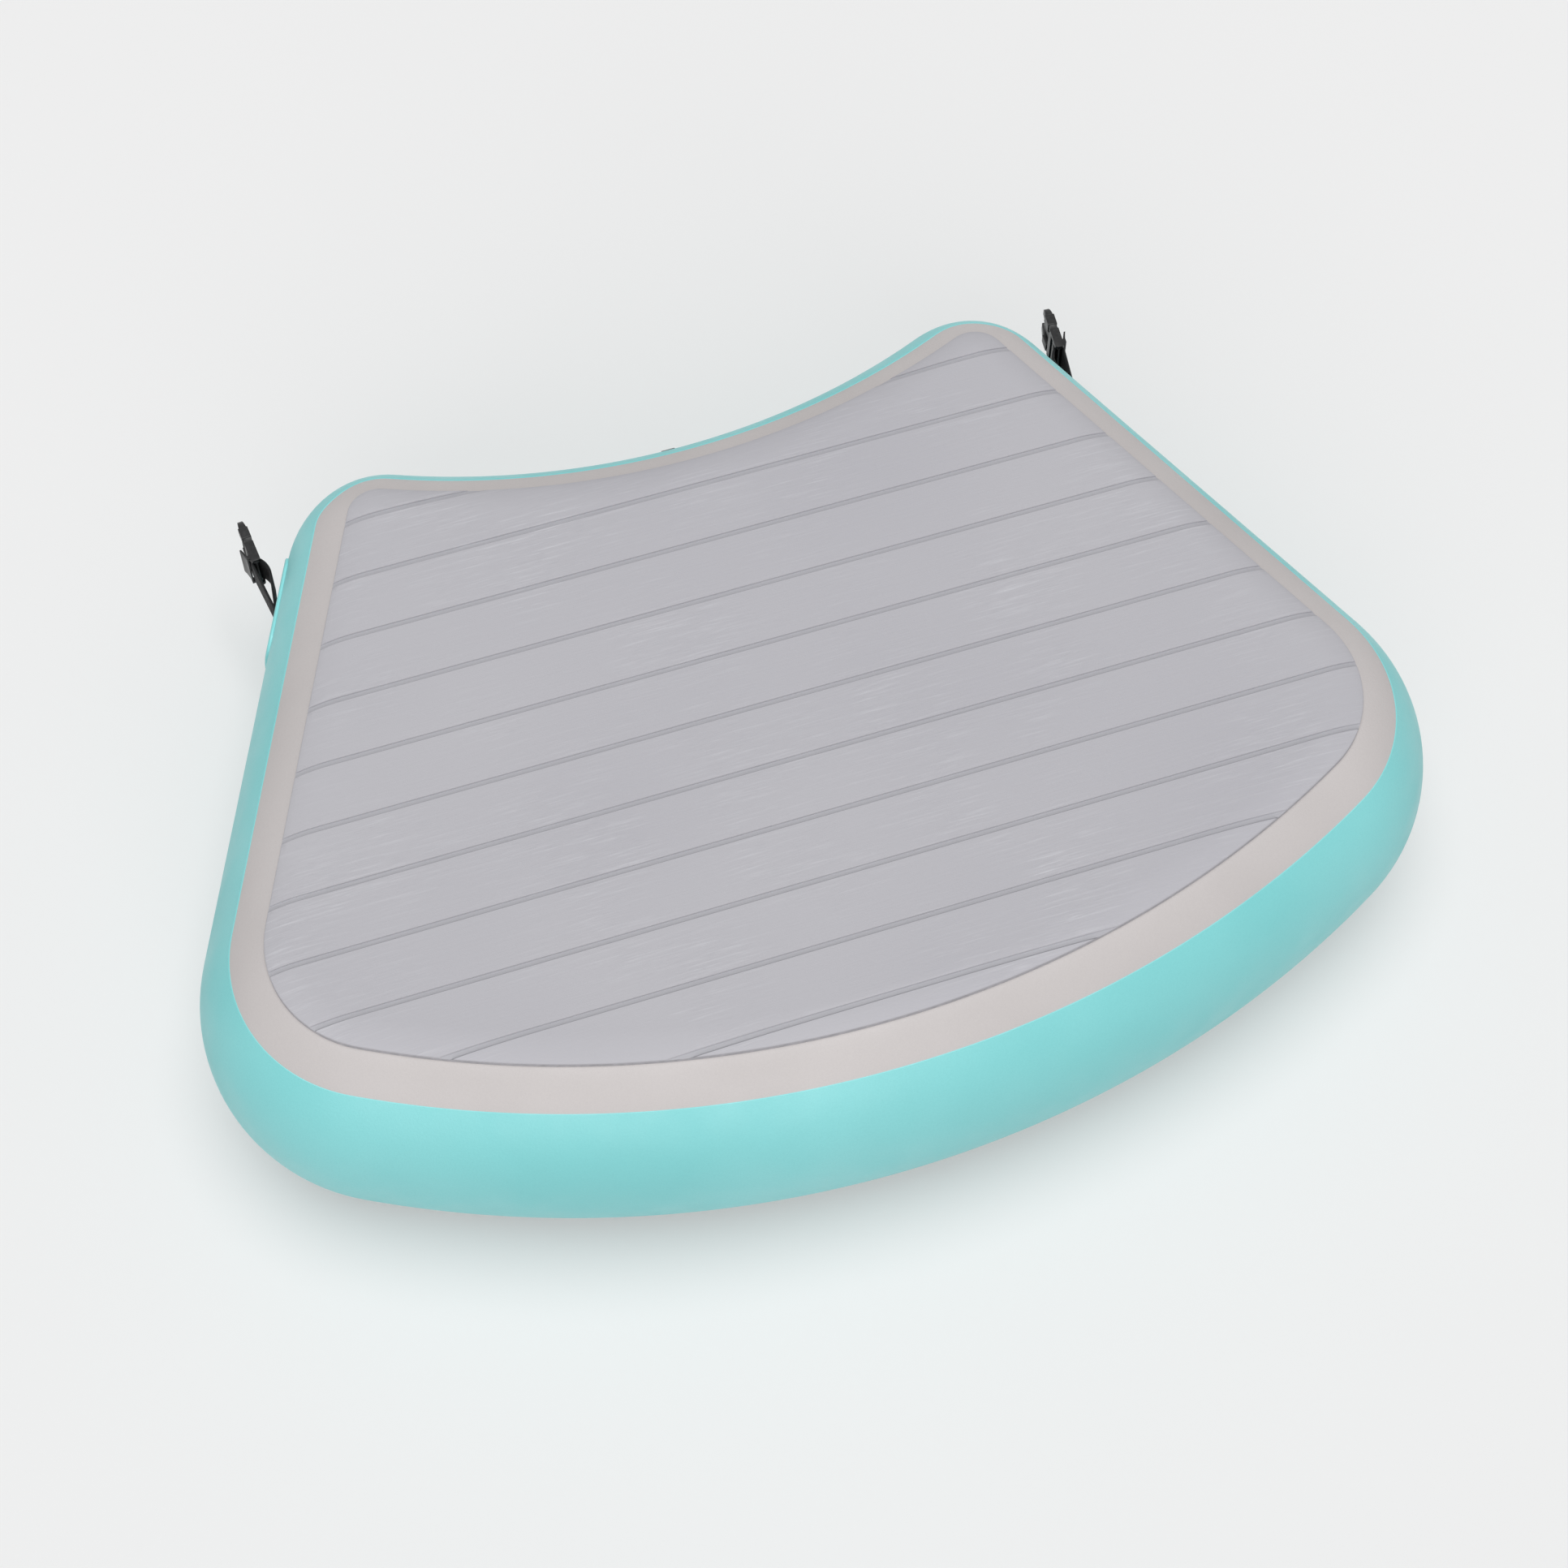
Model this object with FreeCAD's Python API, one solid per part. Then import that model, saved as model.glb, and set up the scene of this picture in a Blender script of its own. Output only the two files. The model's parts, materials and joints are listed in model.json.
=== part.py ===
"""Inflatable floating deck section: a fan-shaped drop-stitch air chamber with a foam deck pad,
an inflation valve in its hollow end and a buckle on a webbing loop on each straight side.

Frame: millimetres, +Z up.  The origin is on the ground under the centre line, halfway between
the wide convex end (-Y) and the hollow concave end (+Y).  The model is symmetric about X = 0,
apart from the valve's own details.
"""
import FreeCAD, Part
import math
import os

Vector = FreeCAD.Vector
UP = Vector(0, 0, 1)

# ---- driving dimensions: the blown-up chamber ------------------------------------------------
CENTRE_LENGTH = 575.0          # wide end to hollow end, on the centre line
MID_HALF_WIDTH = 422.0         # half width halfway along the centre line
SIDE_ANGLE = 23.7              # how far each straight side leans in, degrees
FRONT_RADIUS = 764.0           # convex wide end
FRONT_CORNER_RADIUS = 138.0
FAR_RADIUS = 502.0             # concave narrow end
FAR_CORNER_RADIUS = 78.0
THICKNESS = 200.0              # chamber, bottom skin to top skin
CROWN_RADIUS = 64.0            # top and bottom edges of the blown-up rail
SEAM_ANGLE = 41.0              # where the rail band ends, degrees above and below level
SKIN = 1.2                     # coated fabric
SEAM_GAP = 0.2                 # butt joint between skin and rail band
GLUE_GAP = 0.1                 # between glued curved layers

# ---- sealed inner pieces -----------------------------------------------------------------------
TAPE_WIDTH = 36.0
TAPE_THICKNESS = 0.8
YARN_SPACING = 45.0
YARN_RADIUS = 0.8
YARN_MARGIN = 8.0              # from the start of the rounded edge to the first yarn

# ---- deck pad ----------------------------------------------------------------------------------
PAD_THICKNESS = 4.0
PAD_INSET = 55.4
GROOVE_PITCH = 47.0
GROOVE_WIDTH = 4.0
GROOVE_DEPTH = 1.8
FIRST_GROOVE_INSET = 34.0      # hollow end to the first groove, on the centre line
LAST_GROOVE_MARGIN = 20.0      # least run of pad beyond the last groove

# ---- inflation valve, all heights from the rail's outermost point, outward -----------------------
VALVE_SEAT_RADIUS = 32.0
VALVE_SEAT_FACE = 2.5
VALVE_BARREL_RADIUS = 16.0
VALVE_BARREL_LENGTH = 34.0     # inward from the rail's outermost point
VALVE_HOLE_CLEARANCE = 0.3
VALVE_RING_RADIUS = 27.0
VALVE_RING_THICKNESS = 1.2
VALVE_GASKET_THICKNESS = 0.8
VALVE_FLANGE_RADIUS = 24.0
VALVE_FLANGE_THICKNESS = 2.0
VALVE_ENTRY_RADIUS = 12.4      # takes the cap's skirt
VALVE_MOUTH_RADIUS = 12.0      # land that the pump's nozzle seals on
VALVE_LAND_TOP = 2.5
VALVE_LAND_LENGTH = 5.2
VALVE_BORE_RADIUS = 11.5
VALVE_MOUTH_DEPTH = 9.0        # inward from the rail's outermost point
VALVE_THROAT_RADIUS = 8.5
VALVE_THROAT_LENGTH = 3.0
VALVE_CHAMBER_RADIUS = 13.0
SPIDER_THICKNESS = 3.0
SPIDER_ARM_WIDTH = 4.0
SPIDER_HUB_RADIUS = 5.0
STEM_RADIUS = 2.0
STEM_CLEARANCE = 0.06
STEM_TOP_DEPTH = 3.0           # button top, inward from the rail's outermost point
STEM_BUTTON_RADIUS = 4.5
STEM_BUTTON_HEIGHT = 2.5
POPPET_RADIUS = 11.5
POPPET_THICKNESS = 1.5
SEAL_THICKNESS = 2.4
SEAL_BORE_RADIUS = 7.5
SEAL_GAP = 0.05
SPRING_WIRE_RADIUS = 0.5
SPRING_RADIUS = 4.0
SPRING_TURNS = 4.5
CLIP_RADIUS = 4.0
CLIP_THICKNESS = 2.0
CLIP_GAP = 0.3
NUT_RADIUS = 24.0
NUT_DEPTH = 13.0
NUT_THREAD_CLEARANCE = 0.05
NUT_NOTCHES = 6
CAP_RADIUS = 21.0
CAP_GAP = 0.3
CAP_THICKNESS = 3.0
CAP_SKIRT_CLEARANCE = 0.35
CAP_SKIRT_WALL = 1.6
CAP_SKIRT_LENGTH = 4.0
CAP_RIBS = 16
HINGE_OFFSET = 29.0            # hinge axis above the valve's axis
HINGE_RADIUS = 1.4
HINGE_WIDTH = 10.0
STRAP_THICKNESS = 1.4
STRAP_SHOULDER = 4.0           # strap's level run beyond the cap's rim

# ---- webbing loop and its patch, on each straight side ----------------------------------------
STRAP_ROOT_Y = 262.0
PATCH_LENGTH = 84.0
PATCH_HEIGHT = 76.0
PATCH_CORNER_RADIUS = 14.0
PATCH_THICKNESS = 3.0
PATCH_LEAD = 30.0              # patch beyond the strap's root, towards the hollow end
WEBBING_WIDTH = 25.0
WEBBING_THICKNESS = 1.8
TAIL_LENGTH = 34.0
POCKET_CLEARANCE = 0.2
ROOT_RADIUS = 1.7              # rolled root of the loop, about its flex line
ROOT_GAP = 0.3
STRAP_ANGLE = 28.8             # loop's angle outward from the straight side, degrees
LOOP_LENGTH = 40.0             # flex line to buckle bar
LEG_ANGLE = 12.0               # rail-side leg's slant at the flex line, degrees
WRAP_END = 50.0                # where the rail-side leg leaves the bar, degrees
TACK_THREAD = 0.5

# ---- buckle plug -------------------------------------------------------------------------------
BAR_RADIUS = 2.0
BAR_CLEARANCE = 0.3
PLUG_HALF_WIDTH = 16.5
PLUG_RAIL_WIDTH = 3.2          # each side rail of the base frame
PLUG_THICKNESS = 7.0
LADDER_BAR_START = 5.6
LADDER_BAR_END = 8.6
SHOULDER_START = 11.6
SHOULDER_END = 17.0
LIP_START = 1.5
LIP_END = 13.0
LIP_THICKNESS = 1.3
LIP_GAP = 0.5                  # between the webbing round the bar and the lip
LIP_FLARE = 2.4
LIP_LUG_LENGTH = 3.5
NOSE_TIP_SHARE = 0.55          # nose's depth near its tip, as a share of the arm's
TONGUE_HALF_WIDTH = 3.0
TONGUE_THICKNESS = 3.4
TONGUE_END = 34.0
ARM_ROOT_RADIUS = 1.1
ARM_GAP = 0.3
ARM_THICKNESS = 2.2
ARM_DEPTH = 7.2
THUMB_START = 20.0
THUMB_END = 30.0
ARM_TIP = 40.0
SQUEEZE_PLAY = 3.2             # arm's inner side to the tongue's side, at the nose

# ---- worked-out places -------------------------------------------------------------------------
LEAN = math.radians(SIDE_ANGLE)
SEAM = math.radians(SEAM_ANGLE)
RAIL_RADIUS = (THICKNESS / 2 - CROWN_RADIUS * (1 - math.sin(SEAM))) / math.sin(SEAM)
CROWN_INSET = RAIL_RADIUS - (RAIL_RADIUS - CROWN_RADIUS) * math.cos(SEAM)
MID_HEIGHT = THICKNESS / 2
SIDE_NORMAL = Vector(math.cos(LEAN), math.sin(LEAN), 0)
SIDE_ALONG = Vector(-math.sin(LEAN), math.cos(LEAN), 0)
SIDE_DISTANCE = MID_HALF_WIDTH * math.cos(LEAN)
FRONT_CENTRE = Vector(0, -CENTRE_LENGTH / 2 + FRONT_RADIUS, 0)
FAR_CENTRE = Vector(0, CENTRE_LENGTH / 2 + FAR_RADIUS, 0)


def unit(vector):
    return vector * (1 / vector.Length)


def angle_of(vector):
    return math.degrees(math.atan2(vector.y, vector.x))


def direction(degrees):
    return Vector(math.cos(math.radians(degrees)), math.sin(math.radians(degrees)), 0)


def on_side_line(depth, centre, reach, way):
    """The point this deep inside the side line and this far from centre; way +1 is the far one."""
    foot = SIDE_NORMAL * (SIDE_DISTANCE - depth)
    offset = foot - centre
    along = offset.dot(SIDE_ALONG)
    run = math.sqrt(along ** 2 - offset.dot(offset) + reach ** 2)
    return foot + SIDE_ALONG * (-along + way * run)


FRONT_CORNER = on_side_line(FRONT_CORNER_RADIUS, FRONT_CENTRE, FRONT_RADIUS - FRONT_CORNER_RADIUS, -1)
FAR_CORNER = on_side_line(FAR_CORNER_RADIUS, FAR_CENTRE, FAR_RADIUS + FAR_CORNER_RADIUS, -1)
FRONT_TANGENT = unit(FRONT_CORNER - FRONT_CENTRE)
FAR_TANGENT = unit(FAR_CENTRE - FAR_CORNER)


# ---- sweeping a rail section round the outline -----------------------------------------------------
def mirrored(shape):
    return shape.mirror(Vector(0, 0, 0), Vector(1, 0, 0))


def turned(face, centre, radius, start, sweep, hollow=False):
    """Revolve a section, drawn with its outermost point at x = 0, about a vertical axis."""
    section = face.copy()
    if hollow:
        section = section.mirror(Vector(0, 0, 0), Vector(1, 0, 0))
    section.translate(Vector(radius, 0, 0))
    if section.BoundBox.XMin < 0:
        reach = 4 * (radius + THICKNESS)
        corners = [Vector(0, 0, -reach), Vector(reach, 0, -reach), Vector(reach, 0, reach), Vector(0, 0, reach)]
        section = section.common(Part.Face(Part.makePolygon(corners + corners[:1]))).Faces[0]
    section.rotate(Vector(0, 0, 0), UP, start)
    solid = section.revolve(Vector(0, 0, 0), UP, sweep)
    solid.translate(centre)
    return solid


def front_piece(face):
    start = angle_of(FRONT_TANGENT)
    return turned(face, FRONT_CENTRE, FRONT_RADIUS, start, -180 - 2 * start)


def front_corner_piece(face):
    start = angle_of(FRONT_TANGENT)
    return turned(face, FRONT_CORNER, FRONT_CORNER_RADIUS, start, SIDE_ANGLE - start)


def side_piece(face):
    start = FRONT_CORNER + SIDE_NORMAL * FRONT_CORNER_RADIUS
    end = FAR_CORNER + SIDE_NORMAL * FAR_CORNER_RADIUS
    section = face.copy()
    section.rotate(Vector(0, 0, 0), UP, SIDE_ANGLE)
    section.translate(start)
    return section.extrude(end - start)


def far_corner_piece(face):
    return turned(face, FAR_CORNER, FAR_CORNER_RADIUS, SIDE_ANGLE, angle_of(FAR_TANGENT) - SIDE_ANGLE)


def far_piece(face):
    start = angle_of(FAR_TANGENT * -1)
    return turned(face, FAR_CENTRE, FAR_RADIUS, start, -180 - 2 * start, hollow=True)


def ring_pieces(face):
    """The section swept round the whole outline, as eight solids that meet end to end."""
    right = [front_corner_piece(face), side_piece(face), far_corner_piece(face)]
    return [front_piece(face), far_piece(face)] + right + [mirrored(piece) for piece in right]


def ring(face):
    pieces = ring_pieces(face)
    return pieces[0].fuse(pieces[1:]).removeSplitter()


# ---- plan outline and rail sections -------------------------------------------------------------
def plan_wire(inset):
    """The outline in plan, moved inwards; a corner with no radius left is a sharp one."""
    front_radius = FRONT_RADIUS - inset
    far_radius = FAR_RADIUS + inset
    corner_radius = FRONT_CORNER_RADIUS - inset
    lobe_radius = FAR_CORNER_RADIUS - inset
    front_end = FRONT_CORNER + FRONT_TANGENT * corner_radius
    side_start = FRONT_CORNER + SIDE_NORMAL * corner_radius
    side_end = FAR_CORNER + SIDE_NORMAL * lobe_radius
    far_end = FAR_CORNER + FAR_TANGENT * lobe_radius
    edges = []
    if corner_radius <= 0:
        front_end = on_side_line(inset, FRONT_CENTRE, front_radius, -1)
        side_start = front_end
    else:
        middle = FRONT_CORNER + unit(FRONT_TANGENT + SIDE_NORMAL) * corner_radius
        edges.append(Part.Arc(front_end, middle, side_start).toShape())
    if lobe_radius <= 0:
        side_end = on_side_line(inset, FAR_CENTRE, far_radius, -1)
        far_end = side_end
    else:
        middle = FAR_CORNER + unit(FAR_TANGENT + SIDE_NORMAL) * lobe_radius
        edges.append(Part.Arc(side_end, middle, far_end).toShape())
    edges.append(Part.LineSegment(side_start, side_end).toShape())
    edges += [mirrored(edge) for edge in edges]
    flip = Vector(-2, 0, 0)
    front_middle = FRONT_CENTRE + Vector(0, -front_radius, 0)
    far_middle = FAR_CENTRE + Vector(0, -far_radius, 0)
    edges.append(Part.Arc(front_end, front_middle, front_end + flip * front_end.x).toShape())
    edges.append(Part.Arc(far_end, far_middle, far_end + flip * far_end.x).toShape())
    return Part.Wire(Part.__sortEdges__(edges))


def prism(inset, bottom, top):
    face = Part.Face(plan_wire(inset))
    face.translate(Vector(0, 0, bottom))
    return face.extrude(Vector(0, 0, top - bottom))


def section_point(radius, degrees, centre_inset=RAIL_RADIUS, centre_height=MID_HEIGHT):
    """A point of a rail section: x is minus the inset, z the height."""
    turn = math.radians(degrees)
    return Vector(radius * math.cos(turn) - centre_inset, 0, centre_height + radius * math.sin(turn))


def crown_point(radius, degrees):
    height = MID_HEIGHT + math.copysign(MID_HEIGHT - CROWN_RADIUS, degrees)
    return section_point(radius, degrees, CROWN_INSET, height)


def band_face(inner, outer, low, high):
    """A strip of the rail's own arc, between two insets and two angles."""
    middle = (low + high) / 2
    corners = [section_point(RAIL_RADIUS - inner, low), section_point(RAIL_RADIUS - inner, high)]
    corners += [section_point(RAIL_RADIUS - outer, high), section_point(RAIL_RADIUS - outer, low)]
    inner_arc = Part.Arc(corners[0], section_point(RAIL_RADIUS - inner, middle), corners[1])
    outer_arc = Part.Arc(corners[2], section_point(RAIL_RADIUS - outer, middle), corners[3])
    ends = [Part.LineSegment(corners[1], corners[2]), Part.LineSegment(corners[3], corners[0])]
    edges = [curve.toShape() for curve in (inner_arc, ends[0], outer_arc, ends[1])]
    return Part.Face(Part.Wire(edges))


def outside_face(inset, margin=10.0):
    """All that lies outside the blown-up section, moved inwards by inset."""
    rail = RAIL_RADIUS - inset
    crown = CROWN_RADIUS - inset
    top = Vector(-CROWN_INSET, 0, THICKNESS - inset)
    bottom = Vector(-CROWN_INSET, 0, inset)
    seam_high = section_point(rail, SEAM_ANGLE)
    seam_low = section_point(rail, -SEAM_ANGLE)
    crown_turn = (SEAM_ANGLE + 90) / 2
    corners = [top, Vector(-CROWN_INSET, 0, THICKNESS + margin), Vector(margin, 0, THICKNESS + margin)]
    corners += [Vector(margin, 0, -margin), Vector(-CROWN_INSET, 0, -margin), bottom]
    curves = [Part.LineSegment(start, end) for start, end in zip(corners, corners[1:])]
    curves.append(Part.Arc(bottom, crown_point(crown, -crown_turn), seam_low))
    curves.append(Part.Arc(seam_low, section_point(rail, 0), seam_high))
    curves.append(Part.Arc(seam_high, crown_point(crown, crown_turn), top))
    return Part.Face(Part.Wire([curve.toShape() for curve in curves]))


def pillow(inset):
    """The blown-up chamber as one closed solid, moved inwards by inset (outwards if negative)."""
    block = prism(inset - 2, inset, THICKNESS - inset)
    return block.cut(ring_pieces(outside_face(inset)))


# ---- air chamber -------------------------------------------------------------------------------
def seam_turn(length):
    """The angle at the rail's centre that spans this length along the rail, degrees."""
    return math.degrees(length / RAIL_RADIUS)


def skins(outer, inner):
    half = SEAM_ANGLE + seam_turn(SEAM_GAP)
    margin = 3 * SKIN
    shell = outer.cut(inner)
    pieces = shell.cut(ring_pieces(band_face(-margin, margin, -half, half))).Solids
    pieces.sort(key=lambda piece: piece.CenterOfMass.z)
    return pieces[-1], pieces[0]


def seam_tape(side):
    """Inner tape behind one seam: half of it on the rail band, half on the skin's rounded edge."""
    outer = SKIN + GLUE_GAP
    inner = outer + TAPE_THICKNESS
    spread = seam_turn(TAPE_WIDTH / 2)
    crown_spread = math.degrees(TAPE_WIDTH / 2 / CROWN_RADIUS)
    edge = side * SEAM_ANGLE
    low_end = side * (SEAM_ANGLE - spread)
    high_end = side * (SEAM_ANGLE + crown_spread)
    rail_out = RAIL_RADIUS - outer
    rail_in = RAIL_RADIUS - inner
    crown_out = CROWN_RADIUS - outer
    crown_in = CROWN_RADIUS - inner
    rail_middle = (edge + low_end) / 2
    crown_middle = (edge + high_end) / 2
    start_out = section_point(rail_out, low_end)
    start_in = section_point(rail_in, low_end)
    seam_out = section_point(rail_out, edge)
    seam_in = section_point(rail_in, edge)
    end_out = crown_point(crown_out, high_end)
    end_in = crown_point(crown_in, high_end)
    curves = [Part.Arc(start_out, section_point(rail_out, rail_middle), seam_out)]
    curves.append(Part.Arc(seam_out, crown_point(crown_out, crown_middle), end_out))
    curves.append(Part.LineSegment(end_out, end_in))
    curves.append(Part.Arc(end_in, crown_point(crown_in, crown_middle), seam_in))
    curves.append(Part.Arc(seam_in, section_point(rail_in, rail_middle), start_in))
    curves.append(Part.LineSegment(start_in, start_out))
    return ring(Part.Face(Part.Wire([curve.toShape() for curve in curves])))


def rail_band():
    band = ring(band_face(0, SKIN, -SEAM_ANGLE, SEAM_ANGLE))
    hole = Part.makeCylinder(VALVE_BARREL_RADIUS + VALVE_HOLE_CLEARANCE, 4 * SKIN, Vector(0, 0,
                                                                                          -2 * SKIN))
    return band.cut(at_valve(hole))


def depth_inside(x, y):
    """How far a point lies inside the outline, measured to the two ends and the nearer side."""
    point = Vector(abs(x), y, 0)
    front = FRONT_RADIUS - (point - FRONT_CENTRE).Length
    far = (point - FAR_CENTRE).Length - FAR_RADIUS
    return min(front, far, SIDE_DISTANCE - SIDE_NORMAL.dot(point))


def drop_stitch_yarns():
    """Upright yarns that hold the two skins level; each stands for a patch of the real pile."""
    columns = int(MID_HALF_WIDTH * 1.2 / YARN_SPACING)
    rows = int(CENTRE_LENGTH * 0.6 / YARN_SPACING)
    height = THICKNESS - 2 * SKIN
    yarns = []
    for column in range(-columns, columns + 1):
        for row in range(-rows, rows + 1):
            x = column * YARN_SPACING
            y = row * YARN_SPACING
            if depth_inside(x, y) > CROWN_INSET + YARN_MARGIN:
                yarns.append(Part.makeCylinder(YARN_RADIUS, height, Vector(x, y, SKIN)))
    return Part.makeCompound(yarns)


# ---- deck pad ----------------------------------------------------------------------------------
def groove_count():
    run = CENTRE_LENGTH - FIRST_GROOVE_INSET - PAD_INSET - LAST_GROOVE_MARGIN
    return int(run / GROOVE_PITCH) + 1


def deck_pad(crown):
    top = pillow(-GLUE_GAP - PAD_THICKNESS)
    groove_floor = pillow(-GLUE_GAP - PAD_THICKNESS + GROOVE_DEPTH)
    above = THICKNESS + 2 * PAD_THICKNESS
    pad = top.common(prism(PAD_INSET, MID_HEIGHT, above)).cut(crown)
    width = 4 * MID_HALF_WIDTH
    first = CENTRE_LENGTH / 2 - FIRST_GROOVE_INSET
    boxes = []
    for index in range(groove_count()):
        corner = Vector(-width / 2, first - index * GROOVE_PITCH - GROOVE_WIDTH / 2, MID_HEIGHT)
        boxes.append(Part.makeBox(width, GROOVE_WIDTH, MID_HEIGHT + 2 * PAD_THICKNESS, corner))
    grooves = Part.makeCompound(boxes).cut(groove_floor)
    return pad.cut(grooves)


# ---- inflation valve: drawn along +Z, then laid along +Y into the hollow end ----------------------
def at_valve(shape):
    """From the valve's own frame (+Z outward, +Y down) to its place in the middle of the hollow end."""
    placed = shape.copy()
    placed.rotate(Vector(0, 0, 0), Vector(1, 0, 0), -90)
    placed.translate(Vector(0, CENTRE_LENGTH / 2, MID_HEIGHT))
    return placed


def disc(radius, low, high):
    return Part.makeCylinder(radius, high - low, Vector(0, 0, low))


RING_TOP = VALVE_SEAT_FACE + VALVE_RING_THICKNESS
GASKET_TOP = RING_TOP + VALVE_GASKET_THICKNESS
FLANGE_TOP = GASKET_TOP + VALVE_FLANGE_THICKNESS
SEAT_PLANE = -VALVE_MOUTH_DEPTH - VALVE_THROAT_LENGTH
SEAL_TOP = SEAT_PLANE - SEAL_GAP
POPPET_TOP = SEAL_TOP - SEAL_THICKNESS
POPPET_BOTTOM = POPPET_TOP - POPPET_THICKNESS
SPIDER_BOTTOM = -VALVE_BARREL_LENGTH
SPIDER_TOP = SPIDER_BOTTOM + SPIDER_THICKNESS
CLIP_TOP = SPIDER_BOTTOM - CLIP_GAP
CLIP_BOTTOM = CLIP_TOP - CLIP_THICKNESS
STEM_TOP = -STEM_TOP_DEPTH
HINGE_HEIGHT = VALVE_SEAT_FACE + CAP_GAP + HINGE_RADIUS
HOLE_RADIUS = VALVE_BARREL_RADIUS + VALVE_HOLE_CLEARANCE


def valve_seat_pad(chamber):
    """Moulded seat: flat in front, its back following the rail."""
    pad = disc(VALVE_SEAT_RADIUS, -VALVE_SEAT_RADIUS, VALVE_SEAT_FACE)
    pad = pad.cut(disc(HOLE_RADIUS, -2 * VALVE_SEAT_RADIUS, 2 * VALVE_SEAT_FACE))
    rim = [edge for edge in pad.Edges if abs(edge.BoundBox.ZMin - VALVE_SEAT_FACE) < 0.01 and edge.Length > 150]
    pad = pad.makeFillet(VALVE_SEAT_FACE / 2, rim)
    return at_valve(pad).cut(chamber)


def valve_nut(inside):
    nut = disc(NUT_RADIUS, -NUT_DEPTH, 0)
    nut = nut.cut(disc(VALVE_BARREL_RADIUS + NUT_THREAD_CLEARANCE, -NUT_DEPTH - 1, 1))
    for index in range(NUT_NOTCHES):
        notch = Part.makeCylinder(3, NUT_DEPTH, Vector(NUT_RADIUS + 1, 0, -NUT_DEPTH - 1))
        notch.rotate(Vector(0, 0, 0), UP, index * 360 / NUT_NOTCHES)
        nut = nut.cut(notch)
    return at_valve(nut).common(inside)


def valve_body():
    body = disc(VALVE_BARREL_RADIUS, SPIDER_BOTTOM, GASKET_TOP).fuse(disc(VALVE_FLANGE_RADIUS,
                                                                          GASKET_TOP, FLANGE_TOP))
    edge = [e for e in body.Edges if abs(e.BoundBox.ZMin - FLANGE_TOP) < 0.01 and e.Length > 100]
    body = body.makeFillet(VALVE_FLANGE_THICKNESS / 2, edge)
    body = body.cut(disc(VALVE_ENTRY_RADIUS, VALVE_LAND_TOP, FLANGE_TOP + 1))
    body = body.cut(disc(VALVE_MOUTH_RADIUS, VALVE_LAND_TOP - VALVE_LAND_LENGTH, FLANGE_TOP + 1))
    body = body.cut(disc(VALVE_BORE_RADIUS, -VALVE_MOUTH_DEPTH, 0))
    body = body.cut(disc(VALVE_THROAT_RADIUS, SEAT_PLANE - 1, 0))
    body = body.cut(disc(VALVE_CHAMBER_RADIUS, SPIDER_BOTTOM - 1, SEAT_PLANE))
    spider = disc(SPIDER_HUB_RADIUS, SPIDER_BOTTOM, SPIDER_TOP)
    for index in range(3):
        corner = Vector(0, -SPIDER_ARM_WIDTH / 2, SPIDER_BOTTOM)
        arm = Part.makeBox(VALVE_CHAMBER_RADIUS + 1, SPIDER_ARM_WIDTH, SPIDER_THICKNESS, corner)
        arm.rotate(Vector(0, 0, 0), UP, index * 120 + 90)
        spider = spider.fuse(arm)
    spider = spider.cut(disc(STEM_RADIUS + STEM_CLEARANCE, SPIDER_BOTTOM - 1, SPIDER_TOP + 1))
    return at_valve(body.fuse(spider).removeSplitter())


def valve_stem():
    stem = disc(STEM_RADIUS, CLIP_BOTTOM, STEM_TOP)
    stem = stem.fuse(disc(STEM_BUTTON_RADIUS, STEM_TOP - STEM_BUTTON_HEIGHT, STEM_TOP))
    stem = stem.fuse(disc(POPPET_RADIUS, POPPET_BOTTOM, POPPET_TOP))
    slot = Part.makeBox(2 * STEM_BUTTON_RADIUS, 1.2, 1, Vector(-STEM_BUTTON_RADIUS, -0.6, STEM_TOP - 0.8))
    return at_valve(stem.removeSplitter().cut(slot))


def valve_seal():
    return at_valve(disc(POPPET_RADIUS, POPPET_TOP, SEAL_TOP).cut(disc(SEAL_BORE_RADIUS,
                                                                       POPPET_TOP - 1, 0)))


def valve_spring():
    """Coil between the poppet and the spider, closed with a turn of wire at each end."""
    low = SPIDER_TOP + SPRING_WIRE_RADIUS
    high = POPPET_BOTTOM - SPRING_WIRE_RADIUS
    height = high - low
    path = Part.makeHelix(height / SPRING_TURNS, height, SPRING_RADIUS)
    wire = Part.Wire(Part.makeCircle(SPRING_WIRE_RADIUS, Vector(SPRING_RADIUS, 0, 0), Vector(0, 1, 0)))
    coil = Part.Wire(path.Edges).makePipeShell([wire], True, True)
    coil.translate(Vector(0, 0, low))
    return at_valve(coil)


def stem_clip():
    clip = disc(CLIP_RADIUS, CLIP_BOTTOM, CLIP_TOP)
    return at_valve(clip.cut(disc(STEM_RADIUS + STEM_CLEARANCE, CLIP_BOTTOM - 1, CLIP_TOP + 1)))


def cap_ring():
    """Flat ring clamped under the flange; its lug carries the cap's hinge."""
    lug_reach = HINGE_OFFSET - HINGE_RADIUS - CAP_GAP
    plate = disc(VALVE_RING_RADIUS, VALVE_SEAT_FACE, RING_TOP)
    lug = Part.makeBox(HINGE_WIDTH, lug_reach, VALVE_RING_THICKNESS, Vector(-HINGE_WIDTH / 2,
                                                                            -lug_reach, VALVE_SEAT_FACE))
    return at_valve(plate.fuse(lug).removeSplitter().cut(disc(HOLE_RADIUS, 0, FLANGE_TOP)))


def gasket():
    return at_valve(disc(VALVE_FLANGE_RADIUS, RING_TOP, GASKET_TOP).cut(disc(HOLE_RADIUS, 0, FLANGE_TOP)))


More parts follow.
